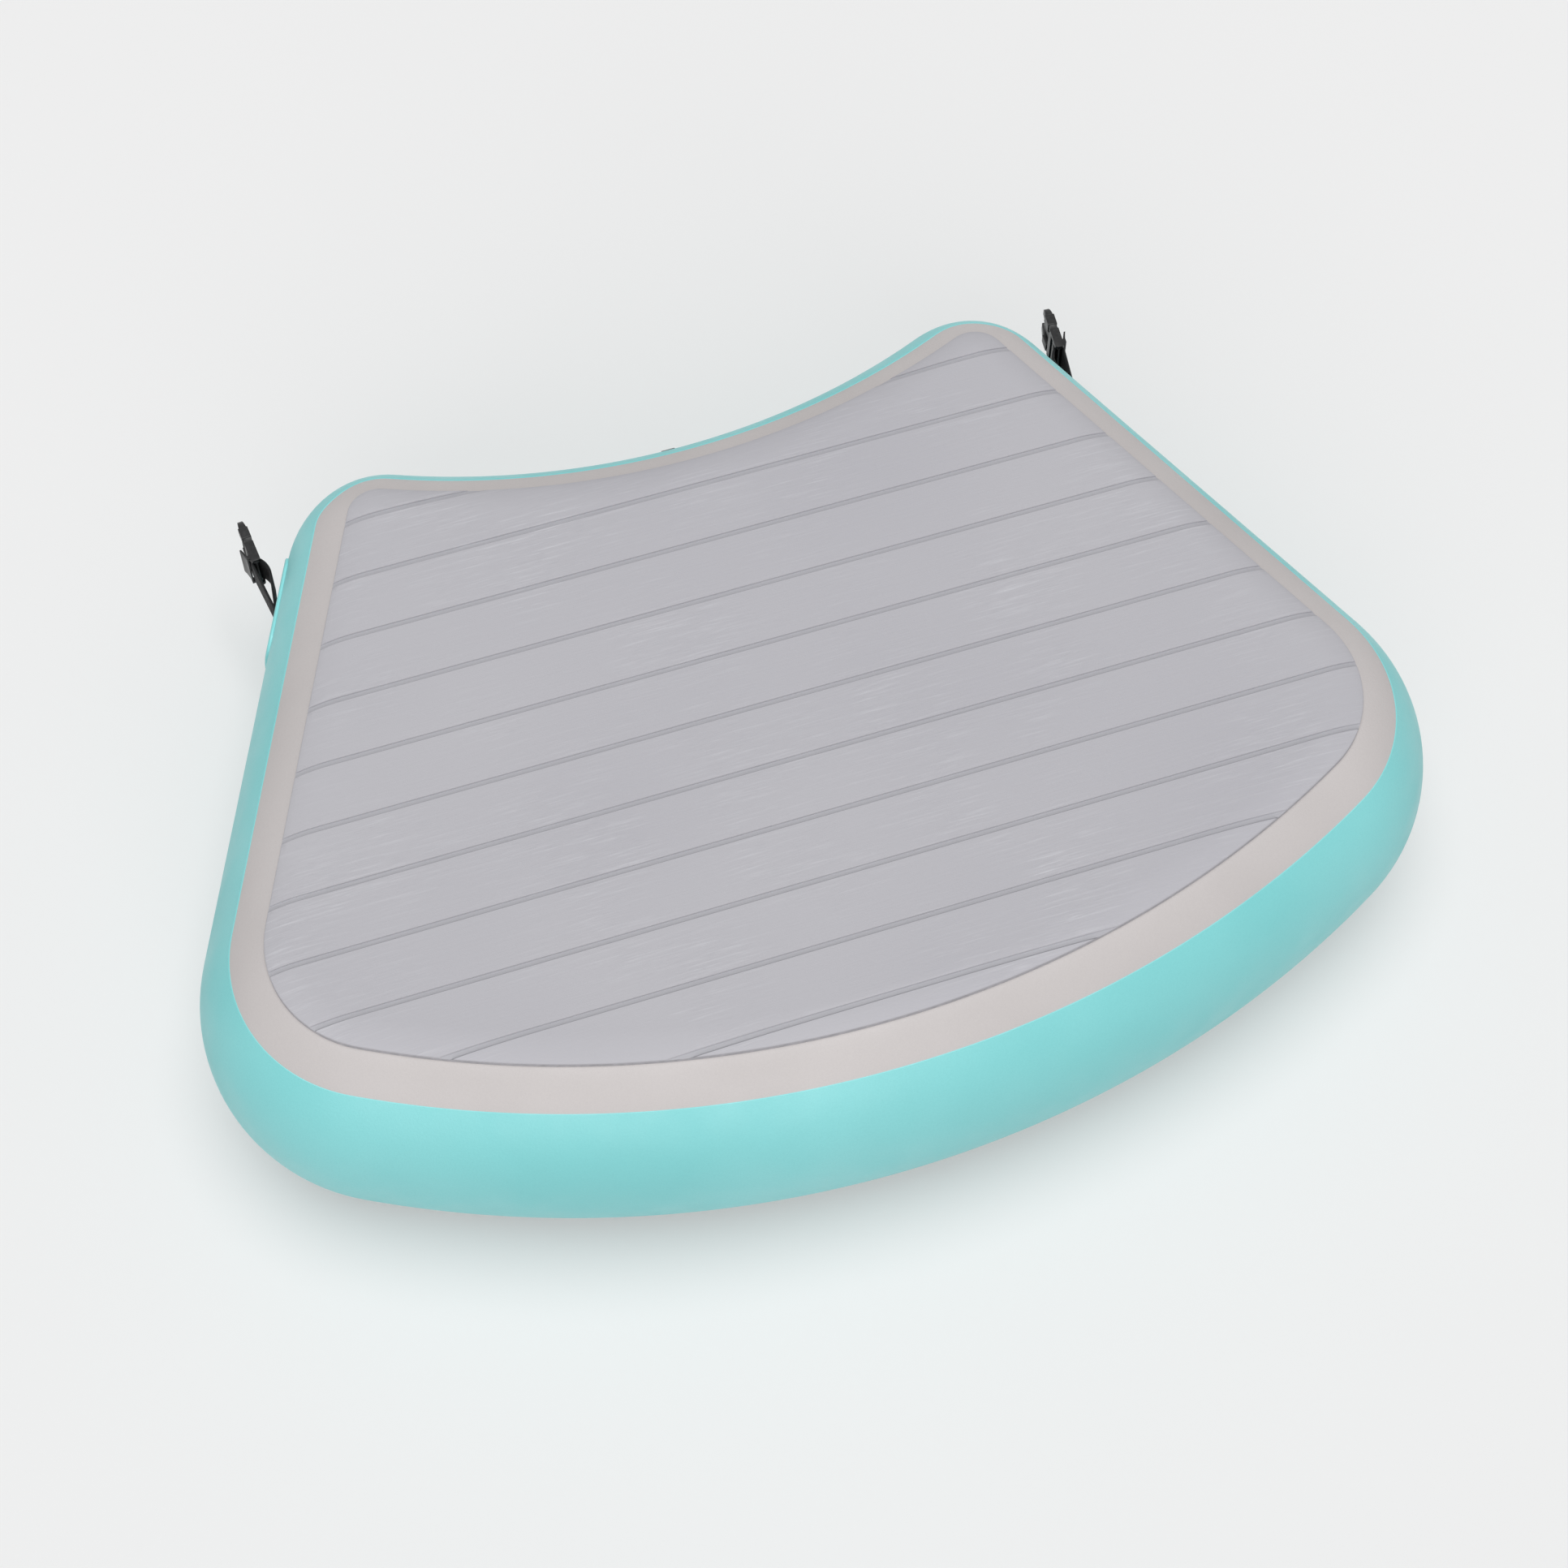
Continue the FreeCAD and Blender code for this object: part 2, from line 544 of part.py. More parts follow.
def cap_strap(top):
    """Strap from the cap's rim, level and then slanting down to the hinge."""
    shoulder = CAP_RADIUS + STRAP_SHOULDER
    inner = HINGE_OFFSET - HINGE_RADIUS
    low = top - STRAP_THICKNESS
    points = [(CAP_RADIUS - 1, top), (shoulder, top), (HINGE_OFFSET + HINGE_RADIUS * 0.7,
                                                       HINGE_HEIGHT + HINGE_RADIUS * 0.7)]
    points += [(inner, HINGE_HEIGHT), (shoulder - STRAP_THICKNESS / 2, low), (CAP_RADIUS - 1, low)]
    corners = [Vector(-HINGE_WIDTH / 2, -away, height) for away, height in points]
    face = Part.Face(Part.makePolygon(corners + corners[:1]))
    return face.extrude(Vector(HINGE_WIDTH, 0, 0))


def valve_cap():
    base = FLANGE_TOP + CAP_GAP
    top = base + CAP_THICKNESS
    cap = disc(CAP_RADIUS, base, top)
    rim = [edge for edge in cap.Edges if abs(edge.BoundBox.ZMin - top) < 0.01]
    cap = cap.makeFillet(CAP_THICKNESS / 3, rim)
    for index in range(CAP_RIBS):
        flute = Part.makeCylinder(1.6, 2 * CAP_THICKNESS, Vector(CAP_RADIUS + 0.6, 0, base - 1))
        flute.rotate(Vector(0, 0, 0), UP, (index + 0.5) * 360 / CAP_RIBS)
        cap = cap.cut(flute)
    skirt_radius = VALVE_ENTRY_RADIUS - CAP_SKIRT_CLEARANCE
    skirt = disc(skirt_radius, base - CAP_SKIRT_LENGTH, base + 0.5)
    skirt = skirt.cut(disc(skirt_radius - CAP_SKIRT_WALL, base - CAP_SKIRT_LENGTH - 1, base))
    knuckle = Part.makeCylinder(HINGE_RADIUS, HINGE_WIDTH, Vector(-HINGE_WIDTH / 2, -HINGE_OFFSET,
                                                                  HINGE_HEIGHT), Vector(1, 0, 0))
    return at_valve(cap.fuse([skirt, cap_strap(top), knuckle]).removeSplitter())


# ---- webbing loop and patch: drawn on the right-hand side -------------------------------------------
SIDE_END_Y = (FAR_CORNER + SIDE_NORMAL * FAR_CORNER_RADIUS).y
ROOT_ON_SIDE = SIDE_NORMAL * SIDE_DISTANCE + SIDE_ALONG * (
    (STRAP_ROOT_Y - SIDE_DISTANCE * math.sin(LEAN)) / math.cos(LEAN))
HINGE_STAND_OFF = PATCH_THICKNESS + ROOT_GAP + ROOT_RADIUS
FLEX_POINT = ROOT_ON_SIDE + SIDE_NORMAL * HINGE_STAND_OFF + UP * MID_HEIGHT
LOOP_HEADING = 90 + SIDE_ANGLE - STRAP_ANGLE


def at_side(shape):
    """From a frame with +X outward, +Y along the side towards the hollow end, origin at the root."""
    placed = shape.copy()
    placed.rotate(Vector(0, 0, 0), UP, SIDE_ANGLE)
    placed.translate(ROOT_ON_SIDE + UP * MID_HEIGHT)
    return placed


def at_loop(shape):
    """From a frame with +X along the loop away from its flex line, +Y towards the rail, +Z up."""
    placed = shape.copy()
    placed.rotate(Vector(0, 0, 0), UP, LOOP_HEADING)
    placed.translate(FLEX_POINT)
    return placed


def rounded_slab(length, height, corner, depth, along):
    """A slab facing +X with rounded corners, centred on height, from along - length to along."""
    low = along - length
    box = Part.makeBox(depth, length, height, Vector(-depth / 2, low, -height / 2))
    upright = [edge for edge in box.Edges if edge.BoundBox.XLength > depth / 2]
    return box.makeFillet(corner, upright)


def patch_slab(inner, outer, half_turn):
    face = band_face(inner, outer, -half_turn, half_turn)
    return side_piece(face).fuse(far_corner_piece(face)).removeSplitter()


def rail_patch():
    """Patch glued over the webbing's tail, with a slit for the loop's root."""
    half_turn = seam_turn(PATCH_HEIGHT / 2 + PATCH_CORNER_RADIUS)
    blank = patch_slab(-PATCH_THICKNESS, -GLUE_GAP, half_turn)
    trim = rounded_slab(PATCH_LENGTH, PATCH_HEIGHT, PATCH_CORNER_RADIUS, 4 * PATCH_LEAD, PATCH_LEAD)
    return blank.common(at_side(trim)).cut(tail_space(POCKET_CLEARANCE))


def tail_space(clearance):
    """The webbing's tail between rail and patch, grown by a clearance."""
    top = -GLUE_GAP - WEBBING_THICKNESS - clearance
    half_turn = seam_turn(WEBBING_WIDTH / 2 + clearance)
    sheet = patch_slab(top, -GLUE_GAP if clearance == 0 else 0, half_turn)
    length = TAIL_LENGTH + 2 * clearance
    trim = Part.makeBox(20, length, 2 * WEBBING_WIDTH, Vector(-10, clearance - length, -WEBBING_WIDTH))
    return sheet.common(at_side(trim))


def path_piece(kind, data):
    """One straight or round stretch of the loop's band, standing on edge."""
    height = Vector(0, 0, WEBBING_WIDTH)
    low = -WEBBING_WIDTH / 2
    half = WEBBING_THICKNESS / 2
    if kind == "line":
        start, end = data
        across = unit((end - start).cross(UP)) * half
        corners = [start + across, end + across, end - across, start - across, start + across]
        face = Part.Face(Part.makePolygon(corners))
    else:
        centre, radius, first, last = data
        middle = (first + last) / 2
        outer = [centre + direction(turn) * (radius + half) for turn in (first, middle, last)]
        inner = [centre + direction(turn) * (radius - half) for turn in (last, middle, first)]
        curves = [Part.Arc(*outer), Part.LineSegment(outer[2], inner[0])]
        curves += [Part.Arc(*inner), Part.LineSegment(inner[2], outer[0])]
        face = Part.Face(Part.Wire([curve.toShape() for curve in curves]))
    face.translate(Vector(0, 0, low))
    return face.extrude(height)


def humped_leg(start, leave):
    """Slanting line from start, then an arc that runs smoothly on to the wrap at leave."""
    slope = math.tan(math.radians(LEG_ANGLE))
    leave_normal = direction(WRAP_END)
    line_normal = direction(90 + LEG_ANGLE)
    travel = line_normal - leave_normal
    radius = (start.y + slope * (leave.x - start.x) - leave.y) / (travel.y - slope * travel.x)
    end = leave + travel * radius
    return end, (leave - leave_normal * radius, radius, WRAP_END, 90 + LEG_ANGLE)


def webbing_loop():
    """Band round the buckle's bar whose two legs close up at the flex line."""
    wrap = BAR_RADIUS + BAR_CLEARANCE + WEBBING_THICKNESS / 2
    bar = Vector(LOOP_LENGTH, 0, 0)
    join = ROOT_RADIUS - WEBBING_THICKNESS / 2
    outer_leg = (Vector(0, -join, 0), bar + Vector(0, -wrap, 0))
    leave = bar + direction(WRAP_END) * wrap
    line_end, hump = humped_leg(Vector(0, join, 0), leave)
    pieces = [path_piece("arc", (bar, wrap, -90, WRAP_END)), path_piece("line", outer_leg)]
    pieces.append(path_piece("arc", hump))
    pieces.append(path_piece("line", (Vector(0, join, 0), line_end)))
    root = Part.makeCylinder(ROOT_RADIUS, WEBBING_WIDTH, Vector(0, 0, -WEBBING_WIDTH / 2))
    return root.fuse(pieces).removeSplitter()


def root_stitches():
    """Bar tack through both legs, just beyond the flex line: thread ridges on the outer leg."""
    ridges = []
    rows = 3
    spacing = 1.6
    outer_face = -ROOT_RADIUS - 0.25 * TACK_THREAD
    for row in range(rows):
        x = 2.4 + row * spacing
        height = 0.8 * WEBBING_WIDTH
        ridges.append(Part.makeCylinder(TACK_THREAD, height, Vector(x, outer_face, -height / 2)))
    return Part.makeCompound(ridges)


# ---- buckle plug: +X from the bar to the tip, +Y towards the rail, +Z up -----------------------------
def box_between(x, y, z):
    corner = Vector(x[0], y[0], z[0])
    return Part.makeBox(x[1] - x[0], y[1] - y[0], z[1] - z[0], corner)


def plug_base():
    half = PLUG_THICKNESS / 2
    inner = PLUG_HALF_WIDTH - PLUG_RAIL_WIDTH
    rails = []
    for side in (-1, 1):
        span = sorted((side * inner, side * PLUG_HALF_WIDTH))
        rail = box_between((-BAR_RADIUS, SHOULDER_END), (-half, half), span)
        ends = [edge for edge in rail.Edges if edge.BoundBox.ZLength > 1 and edge.BoundBox.XMax < 0]
        rails.append(rail.makeFillet(0.9 * BAR_RADIUS, ends))
    bar = Part.makeCylinder(BAR_RADIUS, 2 * inner + 2, Vector(0, 0, -inner - 1))
    ladder = box_between((LADDER_BAR_START, LADDER_BAR_END), (-half + 0.6, half - 0.6), (-inner - 1,
                                                                                         inner + 1))
    shoulder = box_between((SHOULDER_START, SHOULDER_END), (-half, half), (-inner - 1, inner + 1))
    tongue = box_between((SHOULDER_END - 1, TONGUE_END), (-TONGUE_THICKNESS / 2, TONGUE_THICKNESS / 2),
                         (-TONGUE_HALF_WIDTH, TONGUE_HALF_WIDTH))
    tip = [edge for edge in tongue.Edges if edge.BoundBox.XMin > TONGUE_END - 0.01 and edge.BoundBox.YLength > 1]
    tongue = tongue.makeFillet(0.8 * TONGUE_HALF_WIDTH, tip)
    base = rails[0].fuse([rails[1], bar, ladder, shoulder, tongue, ladder_lip()]).removeSplitter()
    for side in (-1, 1):
        root = arm_root(side)
        socket = Part.makeCylinder(ARM_ROOT_RADIUS + ARM_GAP, 4 * half, root + Vector(0, -2 * half,
                                                                                      0), Vector(0, 1, 0))
        base = base.cut(socket)
        mouth_z = sorted((side * (inner - ARM_GAP - 1.2), side * (PLUG_HALF_WIDTH + 1)))
        base = base.cut(box_between((root.x, SHOULDER_END + 1), (-2 * half, 2 * half), mouth_z))
    return base


def ladder_lip():
    """Lifting lip that bridges the webbing on the outward face and flares towards the arms."""
    inner = PLUG_HALF_WIDTH - PLUG_RAIL_WIDTH
    start = -BAR_RADIUS - BAR_CLEARANCE - WEBBING_THICKNESS - LIP_GAP
    foot = Vector(LIP_START, start, 0)
    knee = Vector((LIP_START + LIP_END) / 2, start - 0.3 * LIP_FLARE, 0)
    tip = Vector(LIP_END, start - LIP_FLARE, 0)
    lift = Vector(0, -LIP_THICKNESS, 0)
    edges = [Part.Arc(foot, knee, tip).toShape(), Part.LineSegment(tip, tip + lift).toShape()]
    edges.append(Part.Arc(tip + lift, knee + lift, foot + lift).toShape())
    edges.append(Part.LineSegment(foot + lift, foot).toShape())
    face = Part.Face(Part.Wire(edges))
    face.translate(Vector(0, 0, -inner - 0.5))
    plate = face.extrude(Vector(0, 0, 2 * inner + 1))
    lugs = []
    for side in (-1, 1):
        span = sorted((side * inner, side * (PLUG_HALF_WIDTH - 0.5)))
        across = (start - LIP_THICKNESS, -PLUG_THICKNESS / 2 + 0.5)
        lugs.append(box_between((LIP_START, LIP_START + LIP_LUG_LENGTH), across, span))
    return plate.fuse(lugs)


def arm_root(side):
    return Vector(SHOULDER_END - ARM_ROOT_RADIUS, 0, side * (PLUG_HALF_WIDTH - ARM_THICKNESS / 2 - 0.6))


def nose_plan():
    """The nose seen from above: it narrows to a round tip."""
    half = ARM_DEPTH / 2 - 0.4
    tip_half = NOSE_TIP_SHARE * half
    wide = THUMB_END - 2
    narrow = ARM_TIP - 0.8 * tip_half
    edges = [Part.LineSegment(Vector(wide, half, 0), Vector(narrow, tip_half, 0))]
    edges.append(Part.Arc(Vector(narrow, tip_half, 0), Vector(ARM_TIP, 0, 0), Vector(narrow,
                                                                                     -tip_half, 0)))
    edges.append(Part.LineSegment(Vector(narrow, -tip_half, 0), Vector(wide, -half, 0)))
    edges.append(Part.LineSegment(Vector(wide, -half, 0), Vector(wide, half, 0)))
    face = Part.Face(Part.Wire([edge.toShape() for edge in edges]))
    return face.extrude(Vector(0, 0, PLUG_HALF_WIDTH))


def plug_arm(side):
    """Spring arm with a thumb pad and a rounded nose, drawn for the upper edge."""
    half = ARM_DEPTH / 2
    root = arm_root(1)
    outer = root.z + ARM_THICKNESS / 2
    inner = outer - ARM_THICKNESS
    nose_inner = TONGUE_HALF_WIDTH + SQUEEZE_PLAY
    root_pin = Part.makeCylinder(ARM_ROOT_RADIUS, ARM_DEPTH, Vector(root.x, -half, root.z),
                                 Vector(0, 1, 0))
    leaf = box_between((root.x, THUMB_END), (-half + 0.6, half - 0.6), (inner, outer))
    thumb = box_between((THUMB_START, THUMB_END), (-half, half), (nose_inner + 2.5, PLUG_HALF_WIDTH))
    corners = [edge for edge in thumb.Edges if edge.BoundBox.YLength > half and edge.BoundBox.ZMin > outer - 0.5]
    thumb = thumb.makeFillet(0.8, corners)
    outline = [Vector(THUMB_END - 1, 0, nose_inner + 2.5), Vector(THUMB_END - 1, 0, outer - 0.4)]
    outline.append(Vector(THUMB_END + 0.55 * (ARM_TIP - THUMB_END), 0, outer - 1.4))
    outline.append(Vector(ARM_TIP, 0, nose_inner + 1.8))
    crest = Part.Arc(outline[1], outline[2], outline[3]).toShape()
    end = Vector(ARM_TIP - 1.2, 0, nose_inner)
    edges = [Part.LineSegment(outline[0], outline[1]).toShape(), crest]
    edges.append(Part.Arc(outline[3], Vector(ARM_TIP - 0.1, 0, nose_inner + 0.6), end).toShape())
    edges.append(Part.LineSegment(end, outline[0]).toShape())
    nose = Part.Face(Part.Wire(edges))
    nose.translate(Vector(0, -half, 0))
    nose = nose.extrude(Vector(0, ARM_DEPTH, 0)).common(nose_plan())
    arm = root_pin.fuse([leaf, thumb, nose]).removeSplitter()
    if side < 0:
        arm = arm.mirror(Vector(0, 0, 0), UP)
    return arm


def at_plug(shape):
    placed = shape.copy()
    placed.translate(Vector(LOOP_LENGTH, 0, 0))
    return at_loop(placed)


def right_side_parts():
    return {
        "rail_patch": rail_patch(),
        "webbing_tail": tail_space(0),
        "webbing_loop": at_loop(webbing_loop()),
        "root_stitching": at_loop(root_stitches().cut(webbing_loop())),
        "buckle_plug": at_plug(plug_base()),
        "upper_arm": at_plug(plug_arm(1)),
        "lower_arm": at_plug(plug_arm(-1)),
    }


# ---- the whole deck section --------------------------------------------------------------------
def build():
    glue_line = pillow(-GLUE_GAP)
    top_skin, bottom_skin = skins(pillow(0), pillow(SKIN))
    parts = {
        "top_skin": top_skin,
        "bottom_skin": bottom_skin,
        "rail_band": rail_band(),
        "top_seam_tape": seam_tape(1),
        "bottom_seam_tape": seam_tape(-1),
        "drop_stitch_yarns": drop_stitch_yarns(),
        "deck_pad": deck_pad(glue_line),
        "valve_seat_pad": valve_seat_pad(glue_line),
        "valve_cap_ring": cap_ring(),
        "valve_gasket": gasket(),
        "valve_body": valve_body(),
        "valve_nut": valve_nut(pillow(SKIN + GLUE_GAP)),
        "valve_stem": valve_stem(),
        "valve_seal": valve_seal(),
        "valve_spring": valve_spring(),
        "valve_stem_clip": stem_clip(),
        "valve_cap": valve_cap(),
    }
    for name, shape in right_side_parts().items():
        parts["right_" + name] = shape
        parts["left_" + name] = mirrored(shape)
    return parts


os.makedirs("parts", exist_ok=True)
for node, solid in build().items():
    solid.exportStep("parts/" + node + ".step")
    size = solid.BoundBox
    low = (round(size.XMin, 1), round(size.YMin, 1), round(size.ZMin, 1))
    high = (round(size.XMax, 1), round(size.YMax, 1), round(size.ZMax, 1))
    print(node, len(solid.Solids), "solids", "valid" if solid.isValid() else "NOT VALID", low, high)
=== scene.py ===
"""Looks of the inflatable deck section: coated-fabric skins, grooved foam pad, rail patches,
woven loops and moulded buckles, built in metres in the CAD model's own frame."""
import json
import math

import bmesh
import bpy
from mathutils import Matrix, Vector, geometry


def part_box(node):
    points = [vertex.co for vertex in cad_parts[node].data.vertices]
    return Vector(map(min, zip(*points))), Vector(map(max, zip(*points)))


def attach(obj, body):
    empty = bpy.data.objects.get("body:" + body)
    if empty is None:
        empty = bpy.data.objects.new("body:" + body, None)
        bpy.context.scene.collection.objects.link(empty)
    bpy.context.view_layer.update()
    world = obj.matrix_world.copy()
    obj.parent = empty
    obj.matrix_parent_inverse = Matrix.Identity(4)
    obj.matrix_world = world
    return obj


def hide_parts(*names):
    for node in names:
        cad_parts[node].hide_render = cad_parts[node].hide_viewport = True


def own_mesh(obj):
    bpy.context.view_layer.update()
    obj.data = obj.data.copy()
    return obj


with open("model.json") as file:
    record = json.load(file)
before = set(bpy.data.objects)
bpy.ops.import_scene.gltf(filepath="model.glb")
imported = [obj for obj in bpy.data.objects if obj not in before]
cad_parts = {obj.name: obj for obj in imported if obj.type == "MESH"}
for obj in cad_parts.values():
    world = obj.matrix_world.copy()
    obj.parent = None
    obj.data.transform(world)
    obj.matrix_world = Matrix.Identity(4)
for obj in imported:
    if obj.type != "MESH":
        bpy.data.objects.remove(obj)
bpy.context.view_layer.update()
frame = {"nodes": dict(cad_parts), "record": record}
MM = 0.001

# ---- driving dimensions, the CAD model's own, in metres ----------------------------------------
CENTRE_LENGTH = 575 * MM
MID_HALF_WIDTH = 422 * MM
SIDE_ANGLE = math.radians(23.7)
FRONT_RADIUS = 764 * MM
FRONT_CORNER_RADIUS = 138 * MM
FAR_RADIUS = 502 * MM
FAR_CORNER_RADIUS = 78 * MM
CROWN_RADIUS = 64 * MM
SEAM_ANGLE = math.radians(41)
PAD_INSET = 55.4 * MM
PAD_THICKNESS = 4.1 * MM
GROOVE_PITCH = 47 * MM
GROOVE_DEPTH = 1.3 * MM
FIRST_GROOVE_INSET = 34 * MM
GROOVES = 11
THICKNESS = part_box("top_skin")[1][2]
SKIN = 1.2 * MM
VALVE_HOLE = 16.3 * MM
SEAT_PAD_TRIM = 0.9
PATCH_LENGTH = 84 * MM
PATCH_HEIGHT = 76 * MM
PATCH_CORNER = 14 * MM
PATCH_THICKNESS = 3 * MM
PATCH_LEAD = 30 * MM
STRAP_ROOT_Y = 262 * MM
WEBBING_WIDTH = 25 * MM
WEBBING_THICKNESS = 1.8 * MM
STRAP_ANGLE = math.radians(28.8)
LOOP_LENGTH = 40 * MM
LEG_ANGLE = math.radians(12)
WRAP_END = math.radians(50)
WRAP_RADIUS = 3.2 * MM
ROOT_RADIUS = 1.7 * MM
ROOT_GAP = 0.3 * MM

PATCH_RIM = 1.3                 # millimetres of rounding at a patch's edge
WELD_LINE = (3.2, 5.2)          # pressed line, millimetres in from the edge
WELD_DEPTH = 0.3 * MM
PATCH_RINGS = (0.0, 0.05, 0.25, 0.6, 1.2, 3.2, 3.6, 4.2, 4.8, 5.2, 8, 12, 16, 20, 24, 28, 32, 36)
OUTLINE_STEP = 7 * MM           # spacing of points round the outline
WEAVE_STEP = 0.42 * MM          # spacing of the woven band's cross rows
MOULD_ROUND = 0.35 * MM         # rounding of moulded edges
FLOOR_REACH = 14.0

# ---- light and camera ----------------------------------------------------------------------------
SKY = 0.28
LAMPS = (("overhead", 1.78, 45, 0, 89), ("front", 1.22, 60, -18, 22))
FLOOR_PAINT = (0.60, 0.58, 0.58)
FLOOR_GLOW = (0.263, 0.283, 0.283)
CAMERA_PLACE = (-0.3598, -1.0823, 2.1152)
CAMERA_DOWN = 60.29
CAMERA_TURN = -18.11
CAMERA_LENS = 74.89

# ---- worked-out places --------------------------------------------------------------------------
MID_HEIGHT = THICKNESS / 2
LEG_JOIN = ROOT_RADIUS - WEBBING_THICKNESS / 2 + 0.12 * MM
RAIL_RADIUS = (MID_HEIGHT - CROWN_RADIUS * (1 - math.sin(SEAM_ANGLE))) / math.sin(SEAM_ANGLE)
CROWN_INSET = RAIL_RADIUS - (RAIL_RADIUS - CROWN_RADIUS) * math.cos(SEAM_ANGLE)
SIDE_NORMAL = Vector((math.cos(SIDE_ANGLE), math.sin(SIDE_ANGLE)))
SIDE_ALONG = Vector((-math.sin(SIDE_ANGLE), math.cos(SIDE_ANGLE)))
SIDE_DISTANCE = MID_HALF_WIDTH * math.cos(SIDE_ANGLE)
FRONT_CENTRE = Vector((0, FRONT_RADIUS - CENTRE_LENGTH / 2))
FAR_CENTRE = Vector((0, FAR_RADIUS + CENTRE_LENGTH / 2))


def corner_centre(radius, centre, reach):
    """Centre of a corner arc this far inside the side line and at this reach from an end's centre."""
    foot = SIDE_NORMAL * (SIDE_DISTANCE - radius)
    offset = foot - centre
    along = offset.dot(SIDE_ALONG)
    run = math.sqrt(along ** 2 - offset.dot(offset) + reach ** 2)
    return foot + SIDE_ALONG * (-along - run)


def heading(vector):
    return math.atan2(vector.y, vector.x)


def towards(turn):
    return Vector((math.cos(turn), math.sin(turn)))


FRONT_CORNER = corner_centre(FRONT_CORNER_RADIUS, FRONT_CENTRE, FRONT_RADIUS - FRONT_CORNER_RADIUS)
FAR_CORNER = corner_centre(FAR_CORNER_RADIUS, FAR_CENTRE, FAR_RADIUS + FAR_CORNER_RADIUS)
FRONT_TURN = heading(FRONT_CORNER - FRONT_CENTRE)
LOBE_TURN = heading(FAR_CENTRE - FAR_CORNER)
SIDE_LENGTH = (FAR_CORNER - FRONT_CORNER).dot(SIDE_ALONG)
NEAR = 1e-5


# ---- outline and section ----------------------------------------------------------------------
def arc_samples(centre, radius, first, last, step, outward=1):
    count = max(3, math.ceil(abs(last - first) * radius / step))
    turns = [first + (last - first) * index / count for index in range(count)]
    return [(centre + towards(turn) * radius, towards(turn) * outward) for turn in turns]


def outline(step):
    """Points and outward normals round the outline, counter-clockwise from the wide end's middle."""
    down = -math.pi / 2
    side_start = FRONT_CORNER + SIDE_NORMAL * FRONT_CORNER_RADIUS
    side_count = math.ceil(SIDE_LENGTH / step)
    run = SIDE_ALONG * (SIDE_LENGTH / side_count)
    half = arc_samples(FRONT_CENTRE, FRONT_RADIUS, down, FRONT_TURN, step)
    half += arc_samples(FRONT_CORNER, FRONT_CORNER_RADIUS, FRONT_TURN, SIDE_ANGLE, step)
    half += [(side_start + run * index, SIDE_NORMAL) for index in range(side_count)]
    half += arc_samples(FAR_CORNER, FAR_CORNER_RADIUS, SIDE_ANGLE, LOBE_TURN, step)
    half += arc_samples(FAR_CENTRE, FAR_RADIUS, LOBE_TURN - math.pi, down, step, -1)
    middle = (FAR_CENTRE - Vector((0, FAR_RADIUS)), Vector((0, 1)))
    other = [(Vector((-p.x, p.y)), Vector((-n.x, n.y))) for p, n in reversed(half[1:])]
    return half + [middle] + other


def inset_of(x, y):
    """How far a point lies inside the outline."""
    point = Vector((abs(x), y))
    depths = []
    from_front = point - FRONT_CENTRE
    if heading(from_front) <= FRONT_TURN + NEAR:
        depths.append(FRONT_RADIUS - from_front.length)
    from_corner = point - FRONT_CORNER
    if FRONT_TURN - NEAR <= heading(from_corner) <= SIDE_ANGLE + NEAR:
        depths.append(FRONT_CORNER_RADIUS - from_corner.length)
    if -NEAR <= from_corner.dot(SIDE_ALONG) <= SIDE_LENGTH + NEAR:
        depths.append(SIDE_DISTANCE - SIDE_NORMAL.dot(point))
    from_lobe = point - FAR_CORNER
    if SIDE_ANGLE - NEAR <= heading(from_lobe) <= LOBE_TURN + NEAR:
        depths.append(FAR_CORNER_RADIUS - from_lobe.length)
    from_far = point - FAR_CENTRE
    if heading(from_far) <= LOBE_TURN - math.pi + NEAR:
        depths.append(from_far.length - FAR_RADIUS)
    return min(depths, default=-1.0)


def crown_height(inset, lift):
    """Height of the blown-up top at an inset, for a surface lifted off it."""
    away = max(0.0, CROWN_INSET - inset)
    radius = CROWN_RADIUS + lift
    return THICKNESS - CROWN_RADIUS + math.sqrt(max(0.0, radius ** 2 - away ** 2))


def rail_section(turn, lift):
    """(inset, height) on the rail's arc at an angle above level."""
    radius = RAIL_RADIUS + lift
    return RAIL_RADIUS - radius * math.cos(turn), MID_HEIGHT + radius * math.sin(turn)


def crown_section(turn, lift):
    radius = CROWN_RADIUS + lift
    return CROWN_INSET - radius * math.cos(turn), THICKNESS - CROWN_RADIUS + radius * math.sin(turn)


# ---- making objects -----------------------------------------------------------------------------
def new_object(name, mesh):
    piece = bpy.data.objects.new(name, mesh)
    bpy.context.scene.collection.objects.link(piece)
    return piece


def smooth_mesh(name, vertices, faces, sharp=35):
    mesh = bpy.data.meshes.new(name)
    mesh.from_pydata([tuple(vertex) for vertex in vertices], [], faces)
    mesh.validate()
    build = bmesh.new()
    build.from_mesh(mesh)
    bmesh.ops.recalc_face_normals(build, faces=build.faces)
    build.to_mesh(mesh)
    build.free()
    mesh.shade_smooth()
    mesh.set_sharp_from_angle(angle=math.radians(sharp))
    return mesh


def dress(piece, body, material, slot, *nodes):
    """Material, body and the CAD nodes that the piece stands for; the slot argument is not used."""
    piece.data.materials.clear()
    piece.data.materials.append(material)
    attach(piece, body)
    if nodes:
        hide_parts(*nodes)
    return piece


